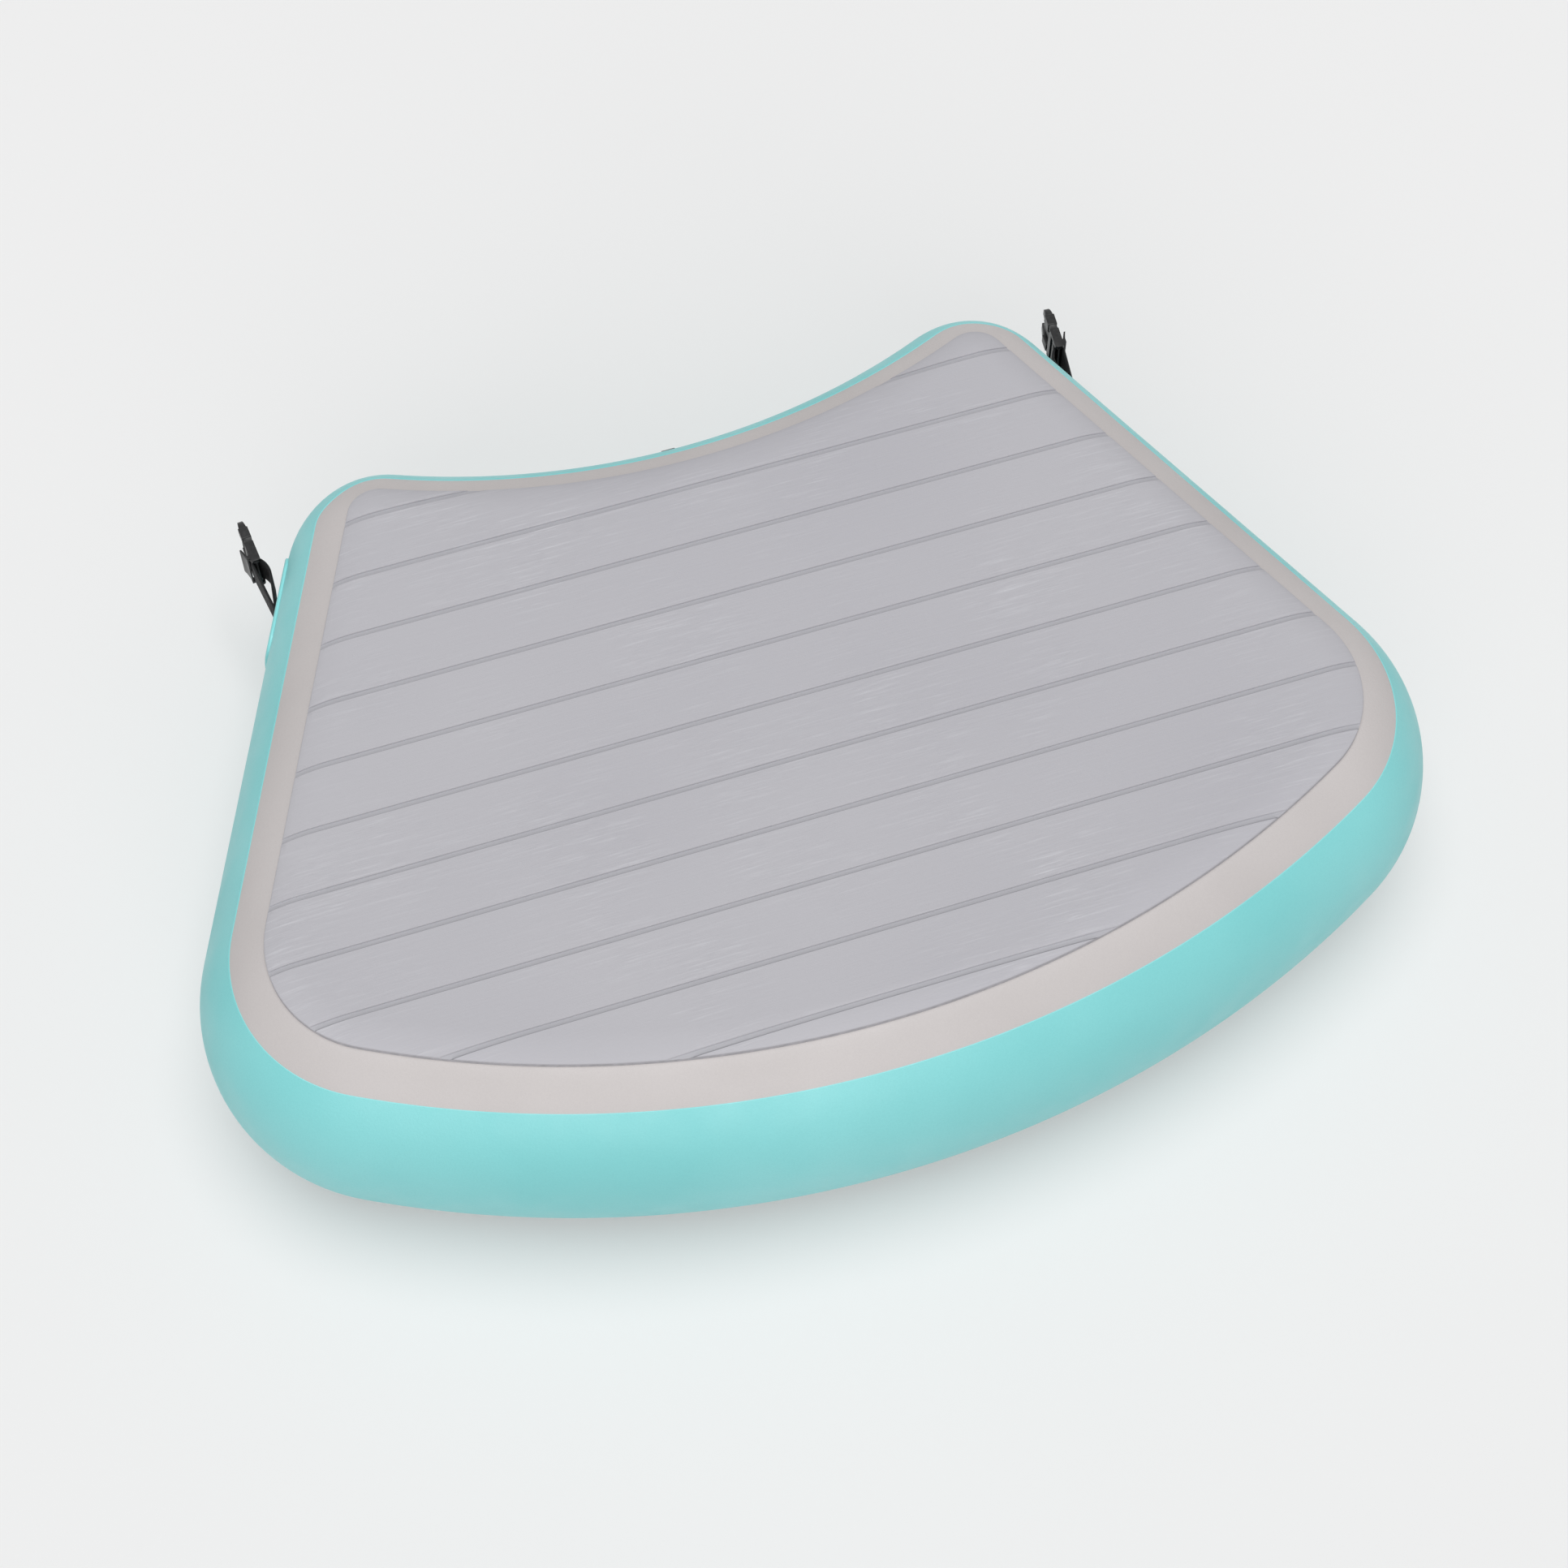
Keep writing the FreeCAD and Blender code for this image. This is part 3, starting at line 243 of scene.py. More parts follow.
def swept(name, ring, section_at):
    """A closed section of (inset, height) pairs for each outward normal, swept round an outline."""
    vertices = []
    for point, normal in ring:
        section = section_at(normal)
        count = len(section)
        for inset, height in section:
            place = point - normal * inset
            vertices.append((place.x, place.y, height))
    faces = []
    for index in range(len(ring)):
        here = index * count
        ahead = (index + 1) % len(ring) * count
        for step in range(count):
            after = (step + 1) % count
            faces.append((here + step, ahead + step, ahead + after, here + after))
    return smooth_mesh(name, vertices, faces)


# ---- procedural materials -------------------------------------------------------------------------
def linear(red, green, blue):
    """Scene colour for an 8-bit display colour."""
    channels = []
    for value in (red, green, blue):
        share = value / 255
        channels.append(share / 12.92 if share <= 0.04045 else ((share + 0.055) / 1.055) ** 2.4)
    return (*channels, 1.0)


def raised(tone, gain, extra=0.0):
    """A tone scaled and lifted, with full alpha."""
    return (*(channel * gain + extra for channel in tone[:3]), 1.0)


class Graph:
    """Short-hand for building one material's nodes."""

    def __init__(self, name):
        self.material = bpy.data.materials.new(name)
        self.material.use_nodes = True
        self.tree = self.material.node_tree
        self.shader = self.tree.nodes["Principled BSDF"]
        self.place = self.tree.nodes.new("ShaderNodeTexCoord").outputs["Object"]

    def node(self, kind, settings=None, **sockets):
        made = self.tree.nodes.new(kind)
        for key, value in (settings or {}).items():
            setattr(made, key, value)
        for key, value in sockets.items():
            self.feed(made.inputs[key.replace("_", " ")], value)
        return made

    def feed(self, socket, value):
        if isinstance(value, bpy.types.NodeSocket):
            self.tree.links.new(value, socket)
        else:
            socket.default_value = value

    def scaled(self, x, y, z):
        made = self.node("ShaderNodeMapping", Vector=self.place)
        made.inputs["Scale"].default_value = (x, y, z)
        return made.outputs["Vector"]

    def noise(self, scale, detail=2.0, rough=0.5, place=None):
        made = self.node("ShaderNodeTexNoise", Vector=place or self.place, Scale=scale,
                         Detail=detail, Roughness=rough)
        return made.outputs["Fac"]

    def cells(self, scale, feature="F1", place=None):
        made = self.node("ShaderNodeTexVoronoi", {"feature": feature}, Vector=place or self.place,
                         Scale=scale)
        return made.outputs["Distance"]

    def maths(self, operation, first, second=0.0):
        made = self.tree.nodes.new("ShaderNodeMath")
        made.operation = operation
        self.feed(made.inputs[0], first)
        self.feed(made.inputs[1], second)
        return made.outputs[0]

    def ramp(self, value, low, high, start=0.0, end=1.0):
        made = self.node("ShaderNodeMapRange", {"clamp": True}, Value=value)
        made.inputs["From Min"].default_value = low
        made.inputs["From Max"].default_value = high
        made.inputs["To Min"].default_value = start
        made.inputs["To Max"].default_value = end
        return made.outputs["Result"]

    def mix(self, share, first, second, blend="MIX"):
        made = self.node("ShaderNodeMix", {"data_type": "RGBA", "blend_type": blend})
        self.feed(made.inputs[0], share)
        self.feed(made.inputs[6], first)
        self.feed(made.inputs[7], second)
        return made.outputs[2]

    def bump(self, height, distance, strength=1.0, under=None):
        made = self.node("ShaderNodeBump", Height=height, Distance=distance, Strength=strength)
        if under is not None:
            self.feed(made.inputs["Normal"], under)
        return made.outputs["Normal"]

    def finish(self, colour, roughness, normal=None, **plain):
        self.feed(self.shader.inputs["Base Color"], colour)
        self.feed(self.shader.inputs["Roughness"], roughness)
        if normal is not None:
            self.feed(self.shader.inputs["Normal"], normal)
        for key, value in plain.items():
            self.shader.inputs[key.replace("_", " ")].default_value = value
        return self.material


def coated_fabric(name, light, deep, edge, gloss):
    """Satin vinyl on fabric: fine leather grain over a faint base weave, slightly uneven in tone."""
    graph = Graph(name)
    drift = graph.ramp(graph.noise(6, 3), 0.35, 0.65)
    speck = graph.ramp(graph.noise(900, 2, 0.6), 0.35, 0.7)
    colour = graph.mix(drift, light, deep)
    colour = graph.mix(graph.maths("MULTIPLY", speck, 0.16), colour, edge)
    grain = graph.cells(760)
    crease = graph.noise(420, 4, 0.62)
    weave = graph.noise(1500, 1, 0.5, graph.scaled(1, 1, 0.25))
    normal = graph.bump(grain, 0.00012, 0.30)
    normal = graph.bump(crease, 0.00022, 0.45, normal)
    normal = graph.bump(weave, 0.00006, 0.25, normal)
    roughness = graph.ramp(graph.noise(35, 3), 0.3, 0.7, 0.38, 0.5)
    return graph.finish(colour, roughness, normal, Specular_IOR_Level=gloss)


def deck_foam():
    """Brushed closed-cell foam: patches of streaks and fine pores, with painted shade on the channel
    floors and a painted shadow line along each channel.
    """
    graph = Graph("deck_foam")
    streaks = graph.noise(1, 5, 0.62, graph.scaled(26, 620, 60))
    fine = graph.noise(1, 3, 0.6, graph.scaled(90, 1900, 200))
    patches = graph.ramp(graph.noise(11, 2), 0.42, 0.66)
    pores = graph.cells(1300)
    drift = graph.ramp(graph.noise(3.2, 2), 0.3, 0.7)
    colour = graph.mix(drift, linear(187, 186, 191), linear(181, 180, 186))
    light = graph.ramp(streaks, 0.52, 0.72, 0.0, 0.75)
    colour = graph.mix(graph.maths("MULTIPLY", light, patches), colour, linear(204, 204, 209))
    dark = graph.ramp(fine, 0.3, 0.5, 0.4, 0.0)
    colour = graph.mix(graph.maths("MULTIPLY", dark, patches), colour, linear(166, 166, 172))
    floor, rim = channel_shade_masks(graph)
    # painted shade: the channel floors are darkened as if shaded in their recess
    colour = graph.mix(floor, colour, linear(168, 168, 173))
    # painted shadow: a dark line along each channel's wide-end edge, where its hidden wall's shadow
    # falls
    colour = graph.mix(rim, colour, linear(126, 126, 131))
    normal = graph.bump(streaks, 0.00035, 0.35)
    normal = graph.bump(fine, 0.00012, 0.4, normal)
    normal = graph.bump(pores, 0.00008, 0.3, normal)
    return graph.finish(colour, 0.72, normal, Specular_IOR_Level=0.25, Sheen_Weight=0.08,
                        Sheen_Roughness=0.5)


def channel_shade_masks(graph):
    """Shares for the painted shade on the channels' floors and for the painted shadow line on each one's
    wide-end side.
    """
    separate = graph.node("ShaderNodeSeparateXYZ", Vector=graph.place)
    first = CENTRE_LENGTH / 2 - FIRST_GROOVE_INSET
    steps = graph.maths("DIVIDE", graph.maths("SUBTRACT", first, separate.outputs["Y"]), GROOVE_PITCH)
    aside = graph.maths("SUBTRACT", steps, graph.maths("ROUND", steps))
    half = 2.1 * MM / GROOVE_PITCH
    # share of painted shade across each channel's floor
    floor = graph.ramp(graph.maths("ABSOLUTE", aside), half * 0.75, half, 0.5, 0.0)
    # the painted shadow line lies just past the floor on the wide-end side
    from_shadow_line = graph.maths("ABSOLUTE", graph.maths("SUBTRACT", aside, half * 0.82))
    rim = graph.ramp(from_shadow_line, half * 0.12, half * 0.3, 0.75, 0.0)
    return floor, rim


def moulded_plastic(name, tone, roughness, texture=0.25):
    """Moulded plastic with a fine spark-eroded texture, faint flow marks and paler rubbed edges."""
    graph = Graph(name)
    drift = graph.ramp(graph.noise(60, 3), 0.35, 0.65)
    colour = graph.mix(drift, tone, raised(tone, 1.35))
    worn = graph.node("ShaderNodeNewGeometry").outputs["Pointiness"]
    rub = graph.maths("MULTIPLY", graph.ramp(worn, 0.53, 0.62), graph.ramp(graph.noise(300, 3),
                                                                           0.4, 0.7))
    colour = graph.mix(graph.maths("MULTIPLY", rub, 0.5), colour, raised(tone, 3, 0.02))
    normal = graph.bump(graph.noise(3200, 2, 0.6), 0.00004, texture)
    normal = graph.bump(graph.noise(140, 2), 0.0001, 0.15, normal)
    rough = graph.ramp(graph.noise(90, 3), 0.3, 0.7, roughness - 0.06, roughness + 0.08)
    return graph.finish(colour, rough, normal, Specular_IOR_Level=0.36)


def woven(name, tone, pale, pitch=1.25 * MM):
    """Flat nylon weave: cords across the width crossed by picks along the length."""
    graph = Graph(name)
    separate = graph.node("ShaderNodeSeparateXYZ", Vector=graph.place)
    along = graph.maths("SINE", graph.maths("MULTIPLY", separate.outputs["Y"], math.tau / pitch))
    across = graph.maths("SINE", graph.maths("MULTIPLY", separate.outputs["Z"], math.tau / pitch))
    twill = graph.maths("MULTIPLY", along, across)
    height = graph.maths("ADD", graph.maths("ABSOLUTE", twill), graph.maths("MULTIPLY", across, 0.4))
    fuzz = graph.noise(2600, 3, 0.7)
    colour = graph.mix(graph.ramp(height, 0.2, 1.2), tone, pale)
    colour = graph.mix(graph.ramp(fuzz, 0.45, 0.8, 0.0, 0.4), colour, pale)
    normal = graph.bump(height, 0.0003, 0.8)
    normal = graph.bump(fuzz, 0.0001, 0.5, normal)
    return graph.finish(colour, 0.68, normal, Sheen_Weight=0.06, Sheen_Roughness=0.4,
                        Specular_IOR_Level=0.28)


def soft_rubber(name, tone):
    graph = Graph(name)
    colour = graph.mix(graph.noise(240, 3), tone, raised(tone, 1.8))
    normal = graph.bump(graph.noise(1800, 3, 0.6), 0.00006, 0.5)
    return graph.finish(colour, 0.6, normal, Specular_IOR_Level=0.3)


def drawn_steel():
    graph = Graph("spring_steel")
    lines = graph.noise(1, 3, 0.6, graph.scaled(900, 900, 90))
    colour = graph.mix(lines, (0.42, 0.42, 0.43, 1), (0.62, 0.62, 0.62, 1))
    return graph.finish(colour, graph.ramp(lines, 0.3, 0.7, 0.22, 0.4), graph.bump(lines, 0.00003,
                                                                                   0.4), Metallic=1.0)


def yarn_fibre():
    graph = Graph("yarn")
    twist = graph.noise(1, 3, 0.6, graph.scaled(1800, 1800, 260))
    colour = graph.mix(twist, linear(206, 204, 198), linear(232, 231, 226))
    return graph.finish(colour, 0.75, graph.bump(twist, 0.0001, 0.7), Sheen_Weight=0.3)


MATERIALS = {
    "rail_fabric": coated_fabric("rail_fabric", linear(134, 216, 217), linear(122, 208, 209),
                                 linear(100, 188, 190), 0.95),
    "border_skin": coated_fabric("border_skin", linear(202, 197, 196), linear(195, 190, 189),
                                 linear(176, 170, 170), 0.4),
    "seam_tape": coated_fabric("seam_tape", linear(176, 174, 172), linear(168, 166, 165),
                               linear(150, 148, 147), 0.4),
    "deck_foam": deck_foam(),
    # foam_edge: the pad's side walls, a darker tone that is painted shade giving the dark line at the
    # pad's edge
    "foam_edge": soft_rubber("foam_edge", linear(146, 145, 149)),
    "buckle_plastic": moulded_plastic("buckle_plastic", (0.006, 0.006, 0.0065, 1), 0.33),
    "valve_plastic": moulded_plastic("valve_plastic", (0.022, 0.023, 0.024, 1), 0.42),
    "stem_plastic": moulded_plastic("stem_plastic", (0.42, 0.43, 0.44, 1), 0.4),
    "webbing": woven("webbing", (0.005, 0.005, 0.0055, 1), (0.022, 0.022, 0.024, 1)),
    "thread": woven("thread", (0.012, 0.012, 0.013, 1), (0.06, 0.06, 0.064, 1), 0.4 * MM),
    "valve_rubber": soft_rubber("valve_rubber", (0.016, 0.016, 0.016, 1)),
    "spring_steel": drawn_steel(),
    "yarn": yarn_fibre(),
}


def dress_cad_nodes():
    """Every carried-over CAD node gets its slot's procedural material."""
    for entry in frame["record"]["subparts"]:
        target = frame["nodes"][entry["node"]]
        target.data.materials.clear()
        target.data.materials.append(MATERIALS[entry["material_slot"]])


# ---- chamber skins and rail band ---------------------------------------------------------------------
OUTLINE = outline(OUTLINE_STEP)
LAP_LIFT = 0.45 * MM
FAR_LAP = 8


def lapped(turn, lift, low):
    """A point on the crown's arc just past the seam, on the top or mirrored to the bottom."""
    inset, height = crown_section(turn, lift)
    return (inset, THICKNESS - height) if low else (inset, height)


def band_section(normal):
    """Band across the rail, ending in a rounded lap over each skin, wider round the hollow end."""
    share = min(max((normal.y - 0.45) / 0.5, 0), 1)
    far = share * share * (3 - 2 * share)
    lap = SEAM_ANGLE + math.radians(0.5 + FAR_LAP * far)
    turns = [SEAM_ANGLE * (1 - index / 23) for index in range(47)]
    laps = [SEAM_ANGLE + (lap - SEAM_ANGLE) * (index + 1) / 3 for index in range(3)]
    roll = math.radians(0.3)
    over = [(lap + 2 * roll, -0.1 * MM), (lap + roll, 0.6 * LAP_LIFT)]
    over += [(turn, LAP_LIFT) for turn in reversed(laps)]
    section = [lapped(turn, lift, False) for turn, lift in over]
    section += [rail_section(turn, LAP_LIFT) for turn in turns]
    section += [lapped(turn, lift, True) for turn, lift in reversed(over)]
    section += [rail_section(turn, -SKIN) for turn in reversed(turns[::2])]
    return section


def rail_band():
    """Teal band, its two edges lapped a little proud of the skins and rounded over."""
    band = new_object("rail_band_fabric", swept("rail_band_fabric", OUTLINE, band_section))
    bpy.ops.mesh.primitive_cylinder_add(
        vertices=64, radius=VALVE_HOLE, depth=20 * MM,
        location=(0, CENTRE_LENGTH / 2, MID_HEIGHT), rotation=(math.pi / 2, 0, 0))
    cutter = bpy.context.object
    cut = band.modifiers.new("valve_hole", "BOOLEAN")
    cut.object = cutter
    cut.solver = "EXACT"
    apply_modifiers(band)
    bpy.data.objects.remove(cutter)
    band.data.shade_smooth()
    band.data.set_sharp_from_angle(angle=math.radians(35))
    return dress(band, "chamber", MATERIALS["rail_fabric"], "rail_fabric", "rail_band")


def apply_modifiers(piece):
    graph = bpy.context.evaluated_depsgraph_get()
    mesh = bpy.data.meshes.new_from_object(piece.evaluated_get(graph))
    piece.modifiers.clear()
    piece.data = mesh


def skin(name, node, flip):
    """Top or bottom skin: rounded edge from the seam inwards, flat middle, one wall's thickness."""
    steps = 22
    turns = [SEAM_ANGLE + (math.pi / 2 - SEAM_ANGLE) * (index / steps) ** 1.15 for index in range(steps)]
    section = [crown_section(turn, 0) for turn in turns]
    build = bmesh.new()
    rows = []
    for point, normal in OUTLINE:
        row = []
        for inset, height in section:
            place = point - normal * inset
            level = THICKNESS - height if flip else height
            row.append(build.verts.new((place.x, place.y, level)))
        rows.append(row)
    for here, ahead in zip(rows, rows[1:] + rows[:1]):
        for step in range(len(section) - 1):
            build.faces.new((here[step], ahead[step], ahead[step + 1], here[step + 1]))
    innermost = {row[-1] for row in rows}
    rim = [edge for edge in build.edges if edge.is_boundary and edge.verts[0] in innermost]
    bmesh.ops.triangle_fill(build, edges=rim, use_beauty=True)
    bmesh.ops.recalc_face_normals(build, faces=build.faces)
    outward = sum(face.normal.z * face.calc_area() for face in build.faces)
    if (outward < 0) != flip:
        bmesh.ops.reverse_faces(build, faces=build.faces)
    mesh = bpy.data.meshes.new(name)
    build.to_mesh(mesh)
    build.free()
    mesh.shade_smooth()
    piece = new_object(name, mesh)
    wall = piece.modifiers.new("wall", "SOLIDIFY")
    wall.thickness = SKIN
    wall.offset = -1
    apply_modifiers(piece)
    return dress(piece, "chamber", MATERIALS["border_skin"], "border_skin", node)


# ---- deck pad ---------------------------------------------------------------------------------------
GROOVE_PROFILE = ((2.1, 0.0), (2.0, 0.06), (1.88, 0.35), (1.75, 0.85), (1.55, 1.0))
EDGE_ROUND = 1.0 * MM
EDGE_STEPS = (0.0, 0.06, 0.2, 0.45, 1.0)


def groove_drop(y):
    """How far the channels take the pad's surface down at this y."""
    first = CENTRE_LENGTH / 2 - FIRST_GROOVE_INSET
    index = min(max(round((first - y) / GROOVE_PITCH), 0), GROOVES - 1)
    away = abs(first - index * GROOVE_PITCH - y) / MM
    if away >= GROOVE_PROFILE[0][0]:
        return 0.0
    for (outer, high), (inner, low) in zip(GROOVE_PROFILE, GROOVE_PROFILE[1:]):
        if away >= inner:
            share = (outer - away) / (outer - inner)
            return (high + share * (low - high)) * GROOVE_DEPTH
    return GROOVE_DEPTH


def edge_drop(inset):
    into = min(inset - PAD_INSET, EDGE_ROUND)
    return EDGE_ROUND - math.sqrt(max(0.0, EDGE_ROUND ** 2 - (EDGE_ROUND - into) ** 2))


def pad_plan():
    """Plan triangles of the pad, with edges along its rim, its rounded edge and every channel."""
    insets = [PAD_INSET + share * EDGE_ROUND for share in EDGE_STEPS]
    crown_steps = 6
    run = CROWN_INSET - insets[-1]
    insets += [insets[-1] + run * (index + 1) / crown_steps for index in range(crown_steps)]
    points = []
    edges = []
    for inset in insets:
        start = len(points)
        ring = [point - normal * inset for point, normal in OUTLINE]
        points += ring
        count = len(ring)
        edges += [(start + index, start + (index + 1) % count) for index in range(count)]
    first = CENTRE_LENGTH / 2 - FIRST_GROOVE_INSET
    for groove in range(GROOVES):
        for away, _ in GROOVE_PROFILE:
            for side in (-1, 1):
                y = first - groove * GROOVE_PITCH + side * away * MM
                points += [Vector((-MID_HALF_WIDTH * 1.2, y)), Vector((MID_HALF_WIDTH * 1.2, y))]
                edges.append((len(points) - 2, len(points) - 1))
    result = geometry.delaunay_2d_cdt(points, edges, [], 0, 1e-7)
    plan = result[0]
    triangles = []
    for face in result[2]:
        centre = sum((plan[index] for index in face), Vector((0, 0))) / len(face)
        if inset_of(centre.x, centre.y) > PAD_INSET - 1e-6:
            triangles.append(tuple(face))
    return plan, triangles


def deck_pad():
    plan, triangles = pad_plan()
    used = sorted({index for face in triangles for index in face})
    place = {index: order for order, index in enumerate(used)}
    count = len(used)
    top = []
    under = []
    for index in used:
        x, y = plan[index]
        inset = max(inset_of(x, y), PAD_INSET)
        surface = crown_height(inset, PAD_THICKNESS)
        top.append((x, y, surface - max(groove_drop(y), edge_drop(inset))))
        under.append((x, y, crown_height(inset, 0.15 * MM)))
    faces = [tuple(place[index] for index in face) for face in triangles]
    rims = {}
    for face in faces:
        for start, end in zip(face, face[1:] + face[:1]):
            rims[(start, end)] = True
    walls = [(end, start, start + count, end + count) for start, end in rims if (end,
                                                                                 start) not in rims]
    below = [tuple(index + count for index in reversed(face)) for face in faces]
    mesh = smooth_mesh("deck_pad_foam", top + under, faces + below + walls, 30)
    pad = new_object("deck_pad_foam", mesh)
    dress(pad, "chamber", MATERIALS["deck_foam"], "deck_foam", "deck_pad")
    # the side walls take foam_edge, painted darker as shade at the pad's edge
    pad.data.materials.append(MATERIALS["foam_edge"])
    for face in pad.data.polygons:
        if len(face.vertices) == 4 and abs(face.normal.z) < 0.5:
            face.material_index = 1
    return pad


# ---- rail patches --------------------------------------------------------------------------------
def rail_point(run, rise, lift, hand):
    """A point on the right or left rail: run on from the strap's root, rise from mid-height."""
    root = (STRAP_ROOT_Y - SIDE_DISTANCE * math.sin(SIDE_ANGLE)) / math.cos(SIDE_ANGLE)
    left_on_side = FAR_CORNER.dot(SIDE_ALONG) - root
    if run <= left_on_side:
        point = SIDE_NORMAL * SIDE_DISTANCE + SIDE_ALONG * (root + run)
        normal = SIDE_NORMAL
    else:
        turn = SIDE_ANGLE + (run - left_on_side) / FAR_CORNER_RADIUS
        normal = towards(turn)
        point = FAR_CORNER + normal * FAR_CORNER_RADIUS
    inset, height = rail_section(rise / RAIL_RADIUS, lift)
    place = point - normal * inset
    return Vector((hand * place.x, place.y, height))


def rounded_rectangle(length, height, corner, steps=10):
    """Boundary points, counter-clockwise, centred on the origin."""
    points = []
    for quarter, (sx, sy) in enumerate(((1, 1), (-1, 1), (-1, -1), (1, -1))):
        centre = Vector((sx * (length / 2 - corner), sy * (height / 2 - corner)))
        for index in range(steps + 1):
            points.append(centre + towards((quarter + index / steps) * math.pi / 2) * corner)
    dense = []
    for here, ahead in zip(points, points[1:] + points[:1]):
        pieces = max(1, math.ceil((ahead - here).length / (3 * MM)))
        dense += [here.lerp(ahead, share / pieces) for share in range(pieces)]
    return dense


def patch(hand, name):
    """Rail patch: rounded edges, a pressed weld line inside them, a swell over the webbing's tail."""
    boundary = rounded_rectangle(PATCH_LENGTH, PATCH_HEIGHT, PATCH_CORNER)
    centre_run = PATCH_LEAD - PATCH_LENGTH / 2
    vertices = []
    half = min(PATCH_LENGTH, PATCH_HEIGHT) / 2
    for inset in PATCH_RINGS:
        share = 1 - inset * MM / half
        for point in boundary:
            across = Vector((point.x * (1 - inset * MM * 2 / PATCH_LENGTH), point.y * share))
            vertices.append(rail_point(centre_run + across.x, across.y, patch_lift(across, inset,
                                                                                   centre_run), hand))
    count = len(boundary)
    foot = [rail_point(centre_run + p.x, p.y, 0.1 * MM, hand) for p in boundary]
    vertices += foot
    faces = []
    for row in range(len(PATCH_RINGS) - 1):
        for index in range(count):
            after = (index + 1) % count
            base = row * count
            faces.append((base + index, base + after, base + count + after, base + count + index))
    last = (len(PATCH_RINGS) - 1) * count
    faces.append(tuple(last + index for index in range(count)))
    start = len(PATCH_RINGS) * count
    for index in range(count):
        after = (index + 1) % count
        faces.append((index, start + index, start + after, after))
    faces.append(tuple(start + index for index in reversed(range(count))))
    piece = new_object(name + "_rail_patch_fabric", smooth_mesh(name + "_rail_patch_fabric",
                                                                vertices, faces, 50))
    return dress(piece, "chamber", MATERIALS["rail_fabric"], "rail_fabric", name + "_rail_patch")


def patch_lift(point, inset, centre_run):
    """Lift of the patch's face: rounded rim, pressed weld line and a swell over the webbing's tail."""
    rounding = math.sqrt(max(0.0, 1 - (1 - min(inset / PATCH_RIM, 1)) ** 2))
    lift = PATCH_THICKNESS * (0.35 + 0.5 * rounding)
    start, end = WELD_LINE
    if start < inset < end:
        lift -= WELD_DEPTH * math.sin((inset - start) / (end - start) * math.pi)
    run = point.x + centre_run
    along = min(max((run + 36 * MM) / (5 * MM), 0), 1) * min(max((3 * MM - run) / (4 * MM), 0), 1)
    across = min(max((15.5 * MM - abs(point.y)) / (3 * MM), 0), 1)
    swell = along * across
    return lift + 0.15 * PATCH_THICKNESS * swell * swell * (3 - 2 * swell)


# ---- webbing loops ----------------------------------------------------------------------------------
def loop_frame(hand):
    """Matrix from the loop's own axes (+X along it, +Y towards the rail, +Z up) to the row frame."""
    root = SIDE_NORMAL * SIDE_DISTANCE + SIDE_ALONG * (
        (STRAP_ROOT_Y - SIDE_DISTANCE * math.sin(SIDE_ANGLE)) / math.cos(SIDE_ANGLE))
    flex = root + SIDE_NORMAL * (PATCH_THICKNESS + ROOT_GAP + ROOT_RADIUS)
    turn = math.pi / 2 + SIDE_ANGLE - STRAP_ANGLE
    place = Matrix.Translation((flex.x, flex.y, MID_HEIGHT)) @ Matrix.Rotation(turn, 4, "Z")
    return Matrix.Diagonal((hand, 1, 1, 1)) @ place


def loop_path(step):
    """Centre line of the closed loop: outer leg, wrap round the bar, hump, rail-side leg, root."""
    bar = Vector((LOOP_LENGTH, 0))
    leave = bar + towards(WRAP_END) * WRAP_RADIUS
    slope = math.tan(LEG_ANGLE)
    travel = towards(math.pi / 2 + LEG_ANGLE) - towards(WRAP_END)
    radius = (LEG_JOIN + slope * leave.x - leave.y) / (travel.y - slope * travel.x)
    hump_end = leave + travel * radius
    pieces = straight(Vector((0, -LEG_JOIN)), bar - Vector((0, WRAP_RADIUS)), step)
    pieces += curved(bar, WRAP_RADIUS, -math.pi / 2, WRAP_END, step)
    pieces += curved(leave - towards(WRAP_END) * radius, radius, WRAP_END,
                     math.pi / 2 + LEG_ANGLE, step)
    pieces += straight(hump_end, Vector((0, LEG_JOIN)), step)
    pieces += curved(Vector((0, 0)), LEG_JOIN, math.pi / 2, 1.5 * math.pi, step)
    return pieces


def straight(start, end, step):
    count = max(1, round((end - start).length / step))
    return [start.lerp(end, index / count) for index in range(count)]


def curved(centre, radius, first, last, step):
    count = max(5, round(abs(last - first) * radius / step))
    return [centre + towards(first + (last - first) * index / count) * radius for index in range(count)]


def webbing_loop(hand, name):
    """Woven band swept round the loop, with rounded selvedges toothed by the weft."""
    path = loop_path(WEAVE_STEP)
    half_width = WEBBING_WIDTH / 2
    half = WEBBING_THICKNESS / 2
    place = loop_frame(hand)
    ribs = 9
    profile = []
    for side in (1, -1):
        for index in range(ribs + 1):
            share = -1 + 2 * index / ribs
            profile.append((side * half, side * share * (half_width - 0.7 * MM)))
        profile.append((0.0, side * half_width))
    vertices = []
    count = len(profile)
    for index, point in enumerate(path):
        ahead = path[(index + 1) % len(path)] - path[index - 1]
        across = Vector((ahead.y, -ahead.x)).normalized()
        tooth = 0.22 * MM * math.cos(index * math.tau / 4)
        for off, height in profile:
            edge = abs(height) > half_width - 1.0 * MM
            rise = height + math.copysign(tooth, height) if edge else height
            spot = point + across * off * (1.0 + 0.05 * math.sin(index * math.tau / 4))
            vertices.append(place @ Vector((spot.x, spot.y, rise)))
    faces = []
    for index in range(len(path)):
        here = index * count
        ahead = (index + 1) % len(path) * count
        for part in range(count):
            after = (part + 1) % count
            faces.append((here + part, ahead + part, ahead + after, here + after))
    mesh = smooth_mesh(name + "_webbing", vertices, faces, 60)
    piece = new_object(name + "_webbing", mesh)
    return dress(piece, name + "_strap", MATERIALS["webbing"], "webbing", name + "_webbing_loop")


